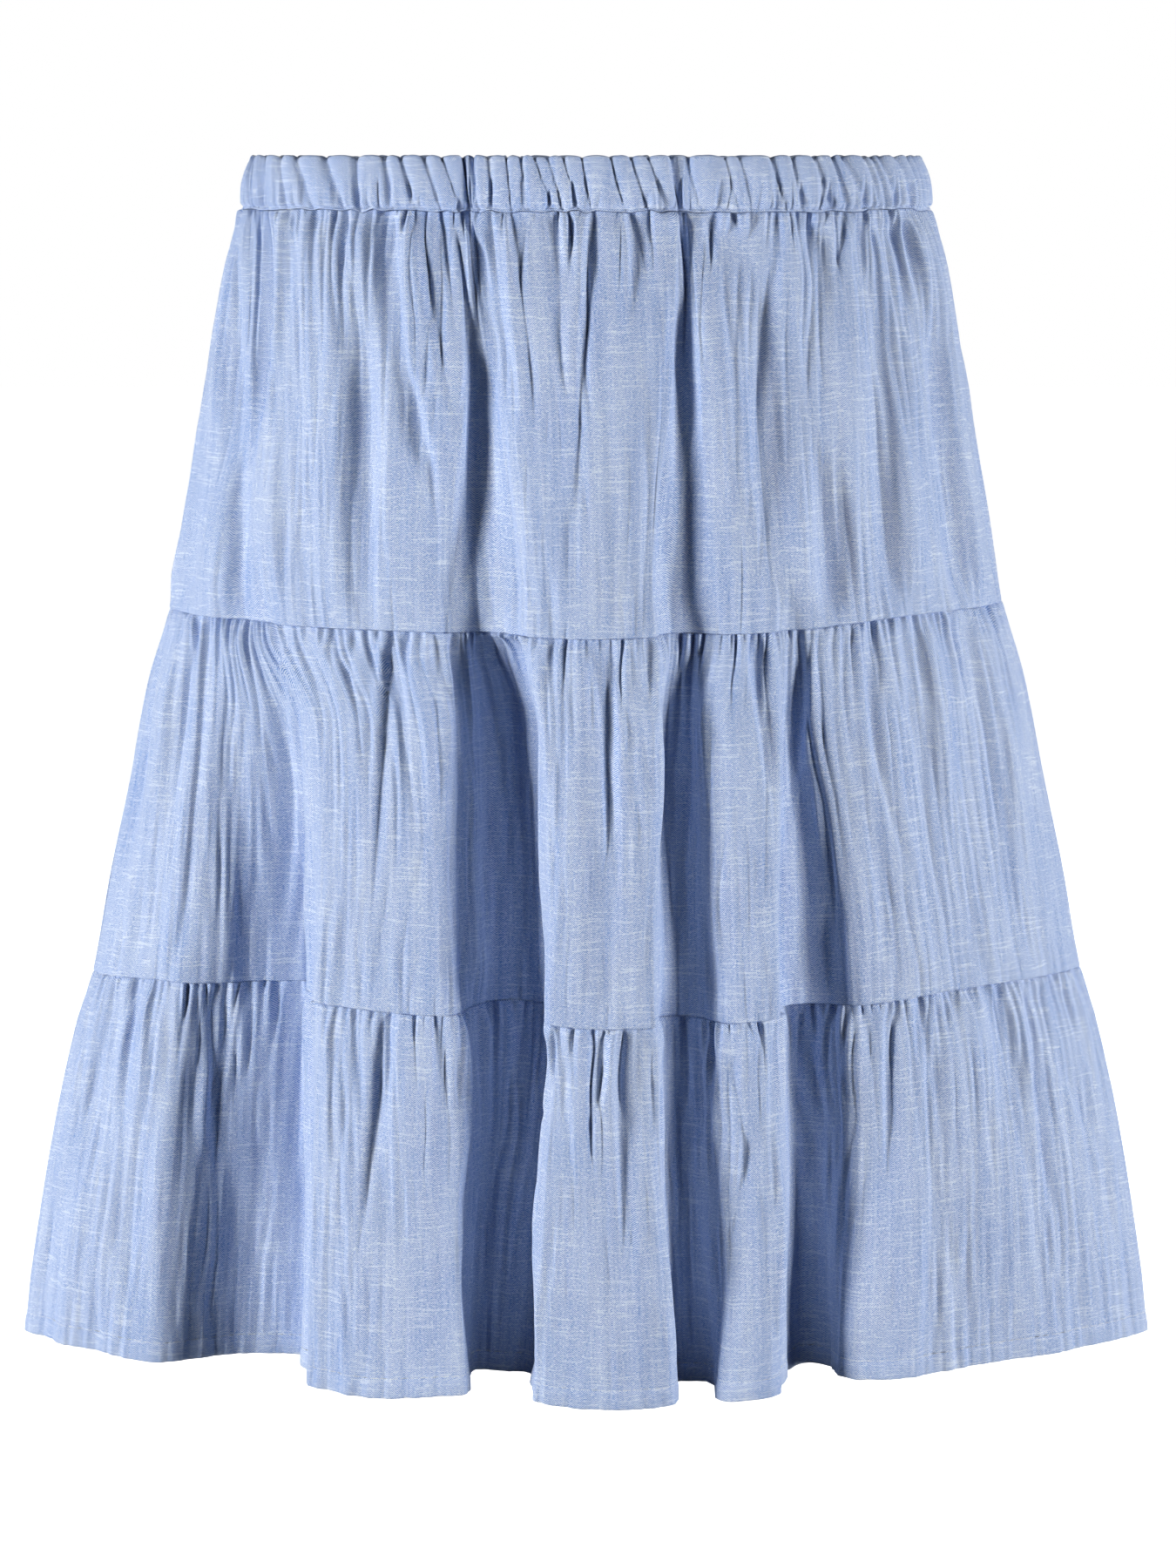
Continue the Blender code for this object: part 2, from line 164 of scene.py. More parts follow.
FOLDS = {
    Side.FRONT: (
        fold(
            (30, -170, 4, 4, 5, 4), (120, -172, 6, 8, 7, 5), (240, -178, 14, 9, 10, 6),
            (290, -168, 24, 18, 14, 5), (441, -173, 27, 40, 20, 5), (650, -183, 29, 47, 20, 3),
        ),
        fold(
            (30, -60, 5, 5, 4, 4), (120, -54, 9, 12, 7, 7), (240, -50, 15, 20, 8, 8),
            (290, -43, 19, 42, 8, 3), (441, -41, 19, 55, 8, 3), (650, -46, 14, 58, 4, 3),
        ),
        fold(
            (30, 48, 5, 5, 4, 6), (120, 53, 8, 11, 5, 9), (240, 50, 12, 17, 5, 11), (290, 48, 10, 30, 3, 9),
            (441, 51, 12, 33, 3, 9), (650, 59, 8, 46, 3, 6),
        ),
        fold(
            (30, 98, 5, 1, 5, 6), (120, 101, 6, 3, 5, 8), (240, 105, 7, 6, 4, 10), (290, 108, 8, 19, 3, 10),
            (441, 117, 15, 28, 3, 14), (650, 121, 13, 44, 3, 12),
        ),
    ),
    Side.BACK: (
        fold(
            (30, 122, 5, 4, 5, 5), (240, 142, 12, 10, 8, 8), (290, 146, 15, 20, 4, 9),
            (441, 158, 18, 29, 3, 10), (650, 176, 20, 36, 3, 11),
        ),
        fold(
            (30, 38, 5, 5, 4, 4), (240, 50, 13, 16, 7, 8), (290, 54, 15, 32, 3, 5), (441, 62, 17, 42, 3, 4),
            (650, 70, 17, 48, 3, 4),
        ),
        fold(
            (30, -40, 5, 5, 4, 4), (240, -36, 13, 17, 8, 7), (290, -35, 14, 33, 8, 3),
            (441, -32, 15, 43, 9, 3), (650, -30, 16, 50, 9, 3),
        ),
        fold(
            (30, -112, 5, 3, 5, 5), (240, -118, 11, 11, 8, 8), (290, -120, 14, 23, 4, 8),
            (441, -126, 17, 34, 3, 9), (650, -133, 18, 42, 3, 10),
        ),
        fold(
            (30, -160, 4, 2, 5, 5), (240, -186, 9, 4, 7, 7), (290, -192, 12, 9, 8, 5),
            (441, -208, 15, 15, 9, 4), (650, -229, 17, 20, 9, 4),
        ),
    ),
}


class Lift(NamedTuple):
    """How far the cloth is drawn up at each seam line, at a part of the half width across the skirt."""

    across: float
    seam_1: float
    seam_2: float
    hem: float


LIFTS = tuple(Lift(*row) for row in (
    (-1.00, 0.0, 0.0, 4.5), (-0.85, -0.5, 3.0, 3.5), (-0.62, 0.0, 2.5, 0.0), (-0.40, 1.0, 2.5, 0.0),
    (-0.22, 0.0, 2.0, 3.5), (0.00, 0.0, 0.5, 2.5), (0.25, 0.0, -2.0, 0.0), (0.50, 0.5, 0.5, 4.0),
    (0.72, 3.5, 4.0, 4.8), (1.00, 3.8, 3.0, 4.5),
))


class Crease(NamedTuple):
    """A pinched line that runs down from a gather.

    The route is its points from the head down, each across the skirt and below the waist. The depth is
    how far it is pressed in, or, where it is negative, how far the cloth stands up. The flank is how wide
    its sharp side is, and the spread how wide its soft side is: to the right of the line where it is
    positive, and to the left where it is negative.
    """

    route: tuple[tuple[float, float], ...]
    depth: float
    flank: float
    spread: float


def creases(*rows: tuple) -> tuple[Crease, ...]:
    """Creases from rows of a depth, a flank and a spread, then the points of the route from the head down."""
    return tuple(Crease(row[3:], *row[:3]) for row in rows)


FRONT_CREASES = {
    1: creases(
        (1.5, 1.1, 3, (-172, 28), (-173, 36)),
        (5.2, 1.8, -7, (-164, 28), (-165, 60), (-168, 110), (-176, 171), (-180, 236)),
        (1.3, 1.3, 4, (-152, 28), (-151, 37)), (2.0, 1.8, 6, (-138, 28), (-141, 70), (-139, 110)),
        (1.6, 2.4, 8, (-125, 28), (-122, 78), (-116, 150)),
        (4.6, 1.8, -9, (-101, 28), (-99, 50), (-92, 107), (-79, 158), (-76, 236)),
        (3.4, 1.2, 8, (-85, 28), (-83, 50), (-74, 92), (-66, 140)), (2.0, 1.1, 3, (-74, 28), (-73, 47)),
        (2.8, 1.2, -5, (-61, 28), (-54, 48), (-50, 72)),
        (3.6, 1.3, 7, (-38, 28), (-34, 48), (-29, 92), (-25, 142)),
        (2.5, 1.2, -3, (-16, 28), (-15, 43), (-13, 66)), (1.4, 1.3, 4, (-6, 28), (-8, 50)),
        (2.9, 1.3, 6, (3, 28), (-2, 102), (-4, 180)), (2.5, 1.2, 6, (22, 28), (24, 47), (23, 82)),
        (1.5, 1.1, -3, (33, 28), (32, 44)), (2.8, 1.6, 6, (49, 28), (54, 71), (53, 104)),
        (2.6, 1.3, -6, (66, 28), (63, 53), (61, 84)), (1.6, 1.1, 3, (75, 28), (73, 40)),
        (2.3, 1.6, -8, (98, 28), (99, 46), (96, 71), (89, 142)), (1.6, 1.2, 4, (106, 28), (106, 42)),
        (2.0, 4.0, 8, (124, 42), (125, 103), (128, 152)), (2.8, 1.2, -4, (132, 28), (132, 40), (129, 66)),
        (2.8, 1.2, -4, (143, 28), (143, 40), (146, 64)), (1.6, 1.1, 3, (150, 28), (152, 42)),
        (1.6, 1.8, -7, (128, 90), (132, 150), (135, 222)), (2.2, 1.2, 4, (166, 28), (170, 52), (178, 84)),
    ),
    2: creases(
        (1.7, 1.3, 5, (-206, 242), (-214, 279), (-221, 332)),
        (2.0, 1.2, 6, (-201, 242), (-206, 307), (-213, 391), (-220, 432)),
        (1.7, 1.4, -6, (-157, 242), (-161, 328), (-168, 417)), (1.4, 1.2, 3, (-153, 242), (-155, 275)),
        (1.2, 1.1, 3, (-135, 242), (-136, 267)), (1.4, 1.1, 3, (-130, 242), (-133, 276)),
        (1.2, 1.2, 4, (-118, 242), (-124, 275)), (1.2, 1.1, -4, (-107, 242), (-108, 265), (-117, 286)),
        (2.6, 1.1, 5, (-100, 242), (-104, 296), (-109, 357), (-111, 394)),
        (1.4, 1.2, -4, (-91, 242), (-95, 285)), (1.6, 1.3, 5, (-77, 242), (-74, 336)),
        (1.4, 1.1, 3, (-70, 242), (-64, 274)), (1.1, 1.2, 3, (-59, 242), (-56, 270)),
        (1.3, 1.1, 3, (-16, 242), (-18, 270)), (2.4, 1.2, -5, (13, 242), (15, 369)),
        (2.4, 1.3, -4, (32, 242), (32, 279)), (0.9, 2.2, 6, (1, 285), (1, 408)),
        (1.8, 1.2, 5, (84, 242), (96, 335)), (1.3, 1.1, -3, (89, 242), (89, 285)),
        (2.2, 1.2, -4, (109, 242), (112, 280), (107, 340)), (1.4, 1.2, 4, (135, 242), (135, 281)),
        (1.9, 1.3, 5, (145, 242), (151, 302), (160, 344), (171, 375)),
        (1.3, 1.4, 5, (172, 242), (181, 314)), (1.4, 1.3, 5, (193, 242), (206, 297)),
        (1.2, 1.3, 5, (218, 242), (233, 295)),
    ),
    3: creases(
        (1.9, 1.4, 6, (-244, 443), (-251, 501), (-253, 544)), (1.2, 1.2, 4, (-233, 443), (-236, 490)),
        (1.8, 1.4, 6, (-201, 443), (-202, 543)), (1.6, 1.4, -6, (-162, 443), (-166, 571)),
        (2.6, 1.2, 6, (-104, 443), (-111, 503), (-117, 552), (-120, 577)),
        (1.1, 2.4, 8, (-74, 455), (-71, 563)), (1.8, 1.3, 4, (-38, 443), (-36, 492)),
        (2.0, 1.2, 4, (-22, 443), (-26, 468), (-30, 505)), (1.6, 1.2, 4, (-16, 443), (-24, 501)),
        (2.4, 1.1, -5, (9, 443), (8, 463), (3, 492), (1, 530)),
        (3.4, 1.2, 6, (17, 443), (18, 491), (21, 575)), (1.4, 1.1, 4, (30, 443), (30, 470)),
        (2.0, 1.3, -4, (40, 470), (43, 520)), (1.8, 1.1, 3, (63, 443), (63, 464)),
        (1.6, 1.4, 5, (84, 500), (77, 560)), (1.7, 1.4, 6, (95, 443), (98, 498), (100, 563)),
        (2.1, 1.3, 6, (159, 443), (161, 543)), (1.2, 1.2, 4, (176, 443), (176, 476)),
        (2.2, 1.4, 7, (234, 443), (244, 501), (252, 577)), (1.2, 1.8, 7, (256, 484), (284, 551)),
    ),
}

BACK_CREASES = {
    1: creases(
        (2.0, 1.3, -5, (-166, 29), (-170, 90), (-181, 190)),
        (2.3, 1.2, 5, (-112, 29), (-113, 110), (-117, 190)), (1.1, 1.4, 6, (-84, 29), (-80, 96)),
        (2.4, 1.2, -5, (-40, 29), (-38, 120), (-37, 205)), (1.3, 1.3, 5, (-12, 29), (-9, 84)),
        (1.6, 1.3, -6, (12, 29), (8, 150)), (2.3, 1.2, 5, (38, 29), (43, 110), (49, 200)),
        (1.4, 1.5, 6, (73, 29), (79, 130)), (1.2, 1.2, -4, (101, 29), (104, 70)),
        (2.1, 1.3, -5, (122, 29), (129, 110), (139, 196)), (1.3, 1.4, 5, (158, 29), (170, 120)),
    ),
    2: creases(
        (1.6, 1.3, -5, (-215, 242), (-226, 330)), (2.1, 1.2, 5, (-160, 242), (-166, 300), (-173, 392)),
        (1.3, 1.1, 3, (-143, 242), (-146, 276)), (1.2, 1.1, 3, (-96, 242), (-94, 262)),
        (1.9, 1.2, -5, (-80, 242), (-83, 340)), (1.4, 1.1, 4, (-66, 242), (-66, 282)),
        (2.3, 1.2, 5, (2, 242), (4, 318), (9, 410)), (1.4, 1.2, -4, (18, 242), (21, 290)),
        (1.9, 1.3, -6, (88, 242), (93, 360)), (1.3, 1.1, 3, (106, 242), (111, 274)),
        (1.5, 1.2, 4, (120, 242), (126, 290)), (1.9, 1.3, 5, (186, 242), (197, 352)),
        (1.3, 1.2, -4, (208, 242), (219, 288)),
    ),
    3: creases(
        (1.7, 1.4, 6, (-249, 443), (-264, 540)), (2.2, 1.3, -6, (-177, 443), (-180, 520), (-185, 600)),
        (1.3, 1.1, 4, (-160, 443), (-161, 478)), (2.0, 1.3, 6, (-92, 443), (-90, 560)),
        (1.3, 1.2, -4, (-74, 443), (-76, 480)), (2.3, 1.2, 6, (4, 443), (8, 530), (14, 602)),
        (1.4, 1.2, 4, (26, 443), (27, 486)), (2.1, 1.3, -6, (104, 443), (110, 574)),
        (1.2, 1.1, 4, (124, 443), (127, 480)), (1.9, 1.4, 6, (206, 443), (219, 560)),
        (1.3, 1.2, -5, (232, 443), (243, 492)),
    ),
}


# Narrow valleys, and ridges beside them, that run on over a seam and down whole tiers
VALLEYS = {
    Side.FRONT: creases(
        (2.3, 2.0, 24, (-64, 55), (-58, 105), (-57, 170), (-54, 240), (-50, 330)),
        (2.4, 11, 11, (-42, 60), (-40, 110), (-39, 170), (-38, 240)),
        (0.9, 8.0, 15, (50, 40), (53, 90), (52, 170), (49, 240), (46, 330)),
        (-2.8, 3.5, 12, (42, 26), (46, 90), (46, 170), (44, 245)),
        (5.5, 9, -17, (-44, 245), (-38, 320), (-35, 441), (-38, 560)),
        (6.0, 5, 15, (110, 420), (114, 500), (118, 590), (121, 650), (122, 800)),
        (2.8, 4.0, 8, (-184, 90), (-182, 170), (-180, 240), (-172, 300)),
        (2.2, 6, 9, (-140, 50), (-146, 140), (-150, 236)),
        (2.2, 6, -8, (-116, 60), (-112, 140), (-110, 236)), (3.0, 6, 8, (88, 40), (92, 140), (96, 236)),
        (2.6, 6, -9, (114, 60), (118, 150), (122, 236)), (2.6, 6, 8, (152, 50), (158, 140), (162, 236)),
        (11.5, 3.0, -22, (-152, 270), (-155, 337), (-156, 441), (-159, 540), (-164, 640), (-166, 900)),
        (-3.2, 17, 13, (-186, 270), (-189, 337), (-190, 441), (-193, 540), (-198, 640), (-200, 900)),
        (2.6, 7, 12, (-212, 250), (-220, 330), (-232, 430), (-238, 520)),
    ),
    Side.BACK: creases(
        (7.0, 3.0, 7, (42, 60), (46, 150), (50, 240), (54, 330)),
        (7.5, 3.5, -6, (-39, 50), (-37, 150), (-36, 240), (-35, 330)),
    ),
}


def smooth_step(part: np.ndarray) -> np.ndarray:
    """Ease a share between 0 and 1 in and out."""
    part = np.clip(part, 0.0, 1.0)
    return part * part * (3 - 2 * part)


def read_smoothly(rows: Sequence[NamedTuple], value: np.ndarray | float) -> NamedTuple:
    """Read every column of a table at values of its first one, along smooth curves through its rows.

    Args:
        rows: The table, in the order of its first column.
        value: Where to read it.

    Returns:
        One row with every column at those values.
    """
    table = np.array(rows, dtype=float)
    keys = table[:, 0]
    value = np.clip(value, keys[0], keys[-1])
    last = len(keys) - 1
    row = np.minimum(np.searchsorted(keys, value, side="right") - 1, last - 1)
    before, after = np.maximum(row - 1, 0), np.minimum(row + 2, last)
    span = keys[row + 1] - keys[row]
    part = (value - keys[row]) / span
    columns = []
    for column in table.T:
        rise = column[row + 1] - column[row]
        slope_in = (column[row + 1] - column[before]) / (keys[row + 1] - keys[before]) * span
        slope_out = (column[after] - column[row]) / (keys[after] - keys[row]) * span
        curve = 3 * rise - 2 * slope_in - slope_out + part * (slope_in + slope_out - 2 * rise)
        columns.append(column[row] + part * (slope_in + part * curve))
    return rows[0]._make(columns)


def drawn_up(across: np.ndarray, drop: float) -> np.ndarray:
    """How far the cloth is drawn up at places across the skirt, at one level.

    Args:
        across: Places across the skirt, as parts of its half width.
        drop: The level.

    Returns:
        The lift of each place, in millimetres.
    """
    lift = read_smoothly(LIFTS, across)
    levels = (CASING_DROP, SEAM_1_DROP, SEAM_2_DROP, HEM_DROP)
    parts = [np.interp(drop, levels, row) for row in np.eye(4)[1:]]
    return parts[0] * lift.seam_1 + parts[1] * lift.seam_2 + parts[2] * lift.hem


def seam_wave(points: np.ndarray, drop: float) -> np.ndarray:
    """How far the casing's seam is pulled up or down by its puckers at some points of one level."""
    place = np.where(points[:, 1] < 0, points[:, 0], BACK_START - points[:, 0])
    pull = CASING_WAVE * Ripples(seed=31, spacing=5.5, wave=1.0).at(place, 0.0)
    return pull * math.exp(-abs(drop - CASING_DROP) / CASING_WAVE_FADE)


def sunk_folds(side: Side, across: np.ndarray, drop: float) -> tuple[np.ndarray, np.ndarray]:
    """How far the large folds of one side run in, and how far they reach sideways under the pipes.

    Args:
        side: The front or the back.
        across: Places across the skirt.
        drop: The level.

    Returns:
        The depth and the sideways move of each place.
    """
    total, sideways = np.zeros_like(across), np.zeros_like(across)
    for stations in FOLDS[side]:
        fold = read_smoothly(stations, drop)
        away = across - fold.middle
        distance = np.abs(away)
        turn = np.where(away < 0, fold.left_turn, fold.right_turn)
        crisp = 1 - smooth_step((turn - CRISP_TURN) / CRISP_RANGE)
        turn = turn * (1 - (1 - CRISP_SHARE) * crisp)
        wall = 1 / (1 + np.exp(2 * (distance - fold.half_mouth) / turn))
        wall_at_middle = 1 / (1 + np.exp(-2 * fold.half_mouth / turn))
        dip = np.exp(-((distance / (fold.half_mouth + ROUNDING_REACH)) ** 2))
        shape = (1 - ROUNDING_SHARE) * wall / wall_at_middle + ROUNDING_SHARE * dip
        total += fold.depth * shape
        reach = UNDERCUT * np.clip((fold.depth - UNDERCUT_START) / UNDERCUT_RANGE, 0, 1)
        sideways += reach * crisp * wall * np.clip(away / fold.half_mouth, -1, 1)
    return total, sideways


def spread_evenly(points: np.ndarray, count: int) -> np.ndarray:
    """The same closed outline, with that many points at even distances along it."""
    closed = np.vstack((points, points[:1]))
    steps = np.linalg.norm(np.diff(closed[:, :2], axis=0), axis=1)
    along = np.concatenate(([0.0], np.cumsum(steps)))
    places = np.arange(count) * along[-1] / count
    return np.column_stack([np.interp(places, along, column) for column in closed.T])


def round_corners(points: np.ndarray, bend: float) -> np.ndarray:
    """Round a closed outline of evenly spread points as cloth with a given bend would."""
    spacing = np.linalg.norm(points[1, :2] - points[0, :2])
    reach = int(math.ceil(3 * bend / spacing))
    steps = np.arange(-reach, reach + 1)
    weights = np.exp(-0.5 * (steps * spacing / bend) ** 2)
    weights /= weights.sum()
    wrapped = np.vstack((points[-reach:], points, points[:reach]))
    return np.column_stack([np.convolve(column, weights, mode="valid") for column in wrapped.T])


class Outline:
    """The outer face of the cloth at one level: from the left side round the front, then the back.

    Each point keeps the place across that it has before the folds reach sideways, which is where folds
    and creases are looked up.
    """

    def __init__(self, drop: float) -> None:
        level = read_smoothly(PROFILE, drop)
        turn = np.linspace(0, 2 * math.pi, OUTLINE_POINTS, endpoint=False)
        across = -level.half_width * np.cos(turn)
        share = np.clip(1 - np.abs(np.cos(turn)) ** level.power, 0, 1) ** (1 / level.power)
        fade = smooth_step(share / SIDE_FADE)
        front_depth, front_reach = sunk_folds(Side.FRONT, across, drop)
        back_depth, back_reach = sunk_folds(Side.BACK, across, drop)
        is_front = turn < math.pi
        front = -(level.front_depth * share - fade * front_depth)
        back = level.back_depth * share - fade * back_depth
        deep = np.where(is_front, front, back)
        moved = across + fade * np.where(is_front, front_reach, back_reach)
        points = spread_evenly(np.column_stack((moved, deep, across)), OUTLINE_POINTS)
        points = round_corners(points, CLOTH_BEND)
        points[:, 0] *= level.half_width / np.abs(points[:, 0]).max()
        self.across = points[:, 2].copy()
        points[:, 2] = drawn_up(points[:, 0] / level.half_width, drop) - drop
        if CASING_WAVE_LEVELS[0] < drop < CASING_WAVE_LEVELS[1]:
            points[:, 2] += seam_wave(points, drop)
        self.points = points
        self.closed = np.vstack((self.points, self.points[:1]))
        steps = np.linalg.norm(np.diff(self.closed[:, :2], axis=0), axis=1)
        self.along = np.concatenate(([0.0], np.cumsum(steps)))
        self.length = float(self.along[-1])
        self.right = int(np.argmax(self.points[:, 0]))
        self.marks = self.fold_edges(drop)

    def distance_at(self, side: Side, across: np.ndarray | float) -> np.ndarray | float:
        """The distance along the outline of a place across the front or the back."""
        if side is Side.FRONT:
            return np.interp(across, self.across[: self.right + 1], self.along[: self.right + 1])
        back = slice(self.right, OUTLINE_POINTS)
        return np.interp(across, self.across[back][::-1], self.along[:-1][back][::-1])

    def fold_edges(self, drop: float) -> np.ndarray:
        """Distances along the outline of its two sides and of both edges of every fold."""
        marks = [0.0, float(self.along[self.right])]
        for side, folds in FOLDS.items():
            for stations in folds:
                fold = read_smoothly(stations, drop)
                for edge in (fold.middle - fold.half_mouth, fold.middle + fold.half_mouth):
                    marks.append(float(self.distance_at(side, edge)))
        return np.sort(marks)

    def place(self, distances: np.ndarray) -> np.ndarray:
        """Points at distances along the outline."""
        wrapped = np.mod(distances, self.length)
        return np.column_stack([np.interp(wrapped, self.along, column) for column in self.closed.T])

    def at(self, distances: np.ndarray) -> tuple[np.ndarray, np.ndarray, np.ndarray]:
        """Points, level outward directions and level tangents at distances along the outline."""
        tangent = self.place(distances + TANGENT_STEP) - self.place(distances - TANGENT_STEP)
        tangent[:, 2] = 0.0
        tangent /= np.linalg.norm(tangent, axis=1)[:, None]
        outward = np.column_stack((tangent[:, 1], -tangent[:, 0], tangent[:, 2]))
        return self.place(distances), outward, tangent


@lru_cache(maxsize=None)
def outline_at(drop: float) -> Outline:
    """The outline at one level, worked out once."""
    return Outline(drop)


class Columns:
    """Places round one tier that keep to the same folds at every level."""

    def __init__(self, reference_drop: float, seam_turn: float) -> None:
        self.reference = outline_at(reference_drop)
        shift = seam_turn / self.reference.length
        self.left_seam = -shift
        self.right_seam = float(self.reference.along[self.reference.right]) / self.reference.length - shift

    def shares(self, side: Side, count: int) -> np.ndarray:
        """Evenly spread places of one panel, as shares of the reference outline."""
        if side is Side.FRONT:
            return np.linspace(self.left_seam, self.right_seam, count)
        return np.linspace(self.right_seam, 1 + self.left_seam, count)

    def distances(self, outline: Outline, shares: np.ndarray) -> np.ndarray:
        """Where those places lie along another outline."""
        turns = np.repeat((-1, 0, 1), len(outline.marks))
        marks_here = np.tile(outline.marks, 3) + turns * outline.length
        marks_there = np.tile(self.reference.marks, 3) / self.reference.length + turns
        return np.interp(shares, marks_there, marks_here)


class Ripples:
    """Soft uneven ripples that run down the cloth, each with its own waves.

    Args:
        seed: Which ripples.
        spacing: How far apart they are.
        wave: How long their waves are, down the cloth.
    """

    STRANDS = 900
    WAVES = 64

    def __init__(self, seed: int, spacing: float, wave: float) -> None:
        random = np.random.RandomState(seed)
        self.spacing = spacing
        self.wave = wave
        self.values = random.uniform(-1, 1, (self.STRANDS, self.WAVES))
        self.shifts = random.uniform(0, self.WAVES, self.STRANDS)

    def strand(self, number: np.ndarray, down: float) -> np.ndarray:
        """The height of some strands at one level."""
        place = down / self.wave + self.shifts[number]
        step = np.floor(place).astype(int)
        part = smooth_step(place - step)
        above, below = self.values[number, step % self.WAVES], self.values[number, (step + 1) % self.WAVES]
        return (1 - part) * above + part * below

    def at(self, across: np.ndarray, down: float) -> np.ndarray:
        """Heights between -1 and 1 at places across the cloth, at one level."""
        place = across / self.spacing
        number = np.floor(place).astype(int)
        part = smooth_step(place - number)
        left, right = number % self.STRANDS, (number + 1) % self.STRANDS
        return (1 - part) * self.strand(left, down) + part * self.strand(right, down)


# How the soft side of a crease falls off, and the crest beside its sharp side: its height as a share of
# the crease's depth, and its distance and width as multiples of the flank
SOFT_POWER = 1.3
SOFT_FALL = 1.6
CREST_HEIGHT = 0.28
CREST_DISTANCE = 2.6
CREST_WIDTH = 1.5


def pressed_line(away: np.ndarray, flank: float, spread: float) -> np.ndarray:
    """The cross-section of a crease: 1 on its line, with a sharp side and a soft side.

    Args:
        away: Distances from the line, to the right.
        flank: The width of the sharp side, outside which the cloth stands up a little.
        spread: The width of the soft side, which is on the right where it is positive.

    Returns:
        How far the cloth is pressed in, as a share of the crease's depth.
    """
    soft = away * np.sign(spread)
    sharp_side = np.exp(-((soft / flank) ** 2))
    soft_side = np.exp(-np.abs(soft / abs(spread)) ** SOFT_POWER * SOFT_FALL)
    crest = CREST_HEIGHT * np.exp(-(((soft + CREST_DISTANCE * flank) / (CREST_WIDTH * flank)) ** 2))
    return np.where(soft < 0, sharp_side, soft_side) - crest


class Crinkle(NamedTuple):
    """How high the waves of a panel's crinkle stand, from the widest to the finest, in millimetres."""

    broad: float
    middling: float
    fine: float


class Groove(NamedTuple):
    """How deep a seam or stitches draw the cloth in, and over what distance that dies away."""

    depth: float
    width: float


class Puckers:
    """The many short puckers of a gathered seam, at uneven places along it.

    Args:
        seed: Which puckers.
        length: How long the seam is.
    """

    SPACING = 4.6
    # Lengths, and the share of the puckers that is shorter
    LENGTHS = (4.0, 10.0, 28.0, 70.0)
    LENGTH_SHARES = (0.0, 0.30, 0.75, 1.0)
    # Bounds of what is drawn for each pucker: its share of the seam, depth, flank, spread and lean
    WIDTHS = (0.45, 1.6)
    DEPTHS = (1.1, 3.0)
    FLANKS = (0.7, 1.1)
    SPREADS = (1.6, 3.4)
    LEANS = (-0.12, 0.12)
    # Long puckers are deeper
    DEPTH_LENGTHS = (4, 20, 70)
    DEPTH_SHARES = (0.8, 1.2, 1.3)
    # A pucker is worked out as far away as this many of its spreads, fades by this power of what is left
    # of its length, and has this share of its depth at the seam, and all of it this far below
    NEAR_SPREADS = 4
    FADE_POWER = 1.2
    SEAM_SHARE = 0.5
    SEAM_RISE = 2.0

    def __init__(self, seed: int, length: float) -> None:
        random = np.random.RandomState(seed)
        count = int(length / self.SPACING)
        widths = random.uniform(*self.WIDTHS, count)
        self.shares = (np.cumsum(widths) - widths / 2) / widths.sum()
        self.reach = np.interp(random.uniform(0, 1, count), self.LENGTH_SHARES, self.LENGTHS)
        self.depth = random.uniform(*self.DEPTHS, count)
        self.depth *= np.interp(self.reach, self.DEPTH_LENGTHS, self.DEPTH_SHARES)
        self.flank = random.uniform(*self.FLANKS, count)
        self.spread = random.uniform(*self.SPREADS, count) * random.choice((-1, 1), count)
        self.lean = random.uniform(*self.LEANS, count)

    def press(self, shares: np.ndarray, length: float, below: float) -> np.ndarray:
        """How far the puckers press the cloth in at one level.

        Args:
            shares: Places along the panel, from 0 to 1.
            length: The panel's length along this level.
            below: How far the level is below the seam.

        Returns:
            The depth at each place.
        """
        total = np.zeros_like(shares)
        alive = self.reach > below
        puckers = np.array((self.shares, self.reach, self.depth, self.flank, self.spread, self.lean)).T
        for share, reach, depth, flank, spread, lean in puckers[alive]:
            away = (shares - share) * length - lean * below
            near = np.abs(away) < self.NEAR_SPREADS * abs(spread)
            fade = (1 - below / reach) ** self.FADE_POWER * min(1.0, self.SEAM_SHARE + below / self.SEAM_RISE)
            total[near] += depth * fade * pressed_line(away[near], flank, spread)
        return total


class SheetRow(NamedTuple):
    """One row of a panel's points: its level, and how far it lies inside the skirt's outer face."""

    drop: float
    inset: float


@dataclass(frozen=True)
class HemShape:
    """The hem that is turned under and stitched."""

    fold: float = 12.0
    stitch: float = 11.0


@dataclass(frozen=True)
class Tier:
    """One tier: the level whose folds it keeps to, how far its side seams are turned, the levels of its
    two seams, the flat size of each of its two panels, its crinkle, and its hem if it has one."""

    number: int
    reference: float
    seam_turn: float
    levels: tuple[float, float]
    cut: tuple[float, float]
    crinkle: Crinkle
    hem: HemShape | None = None


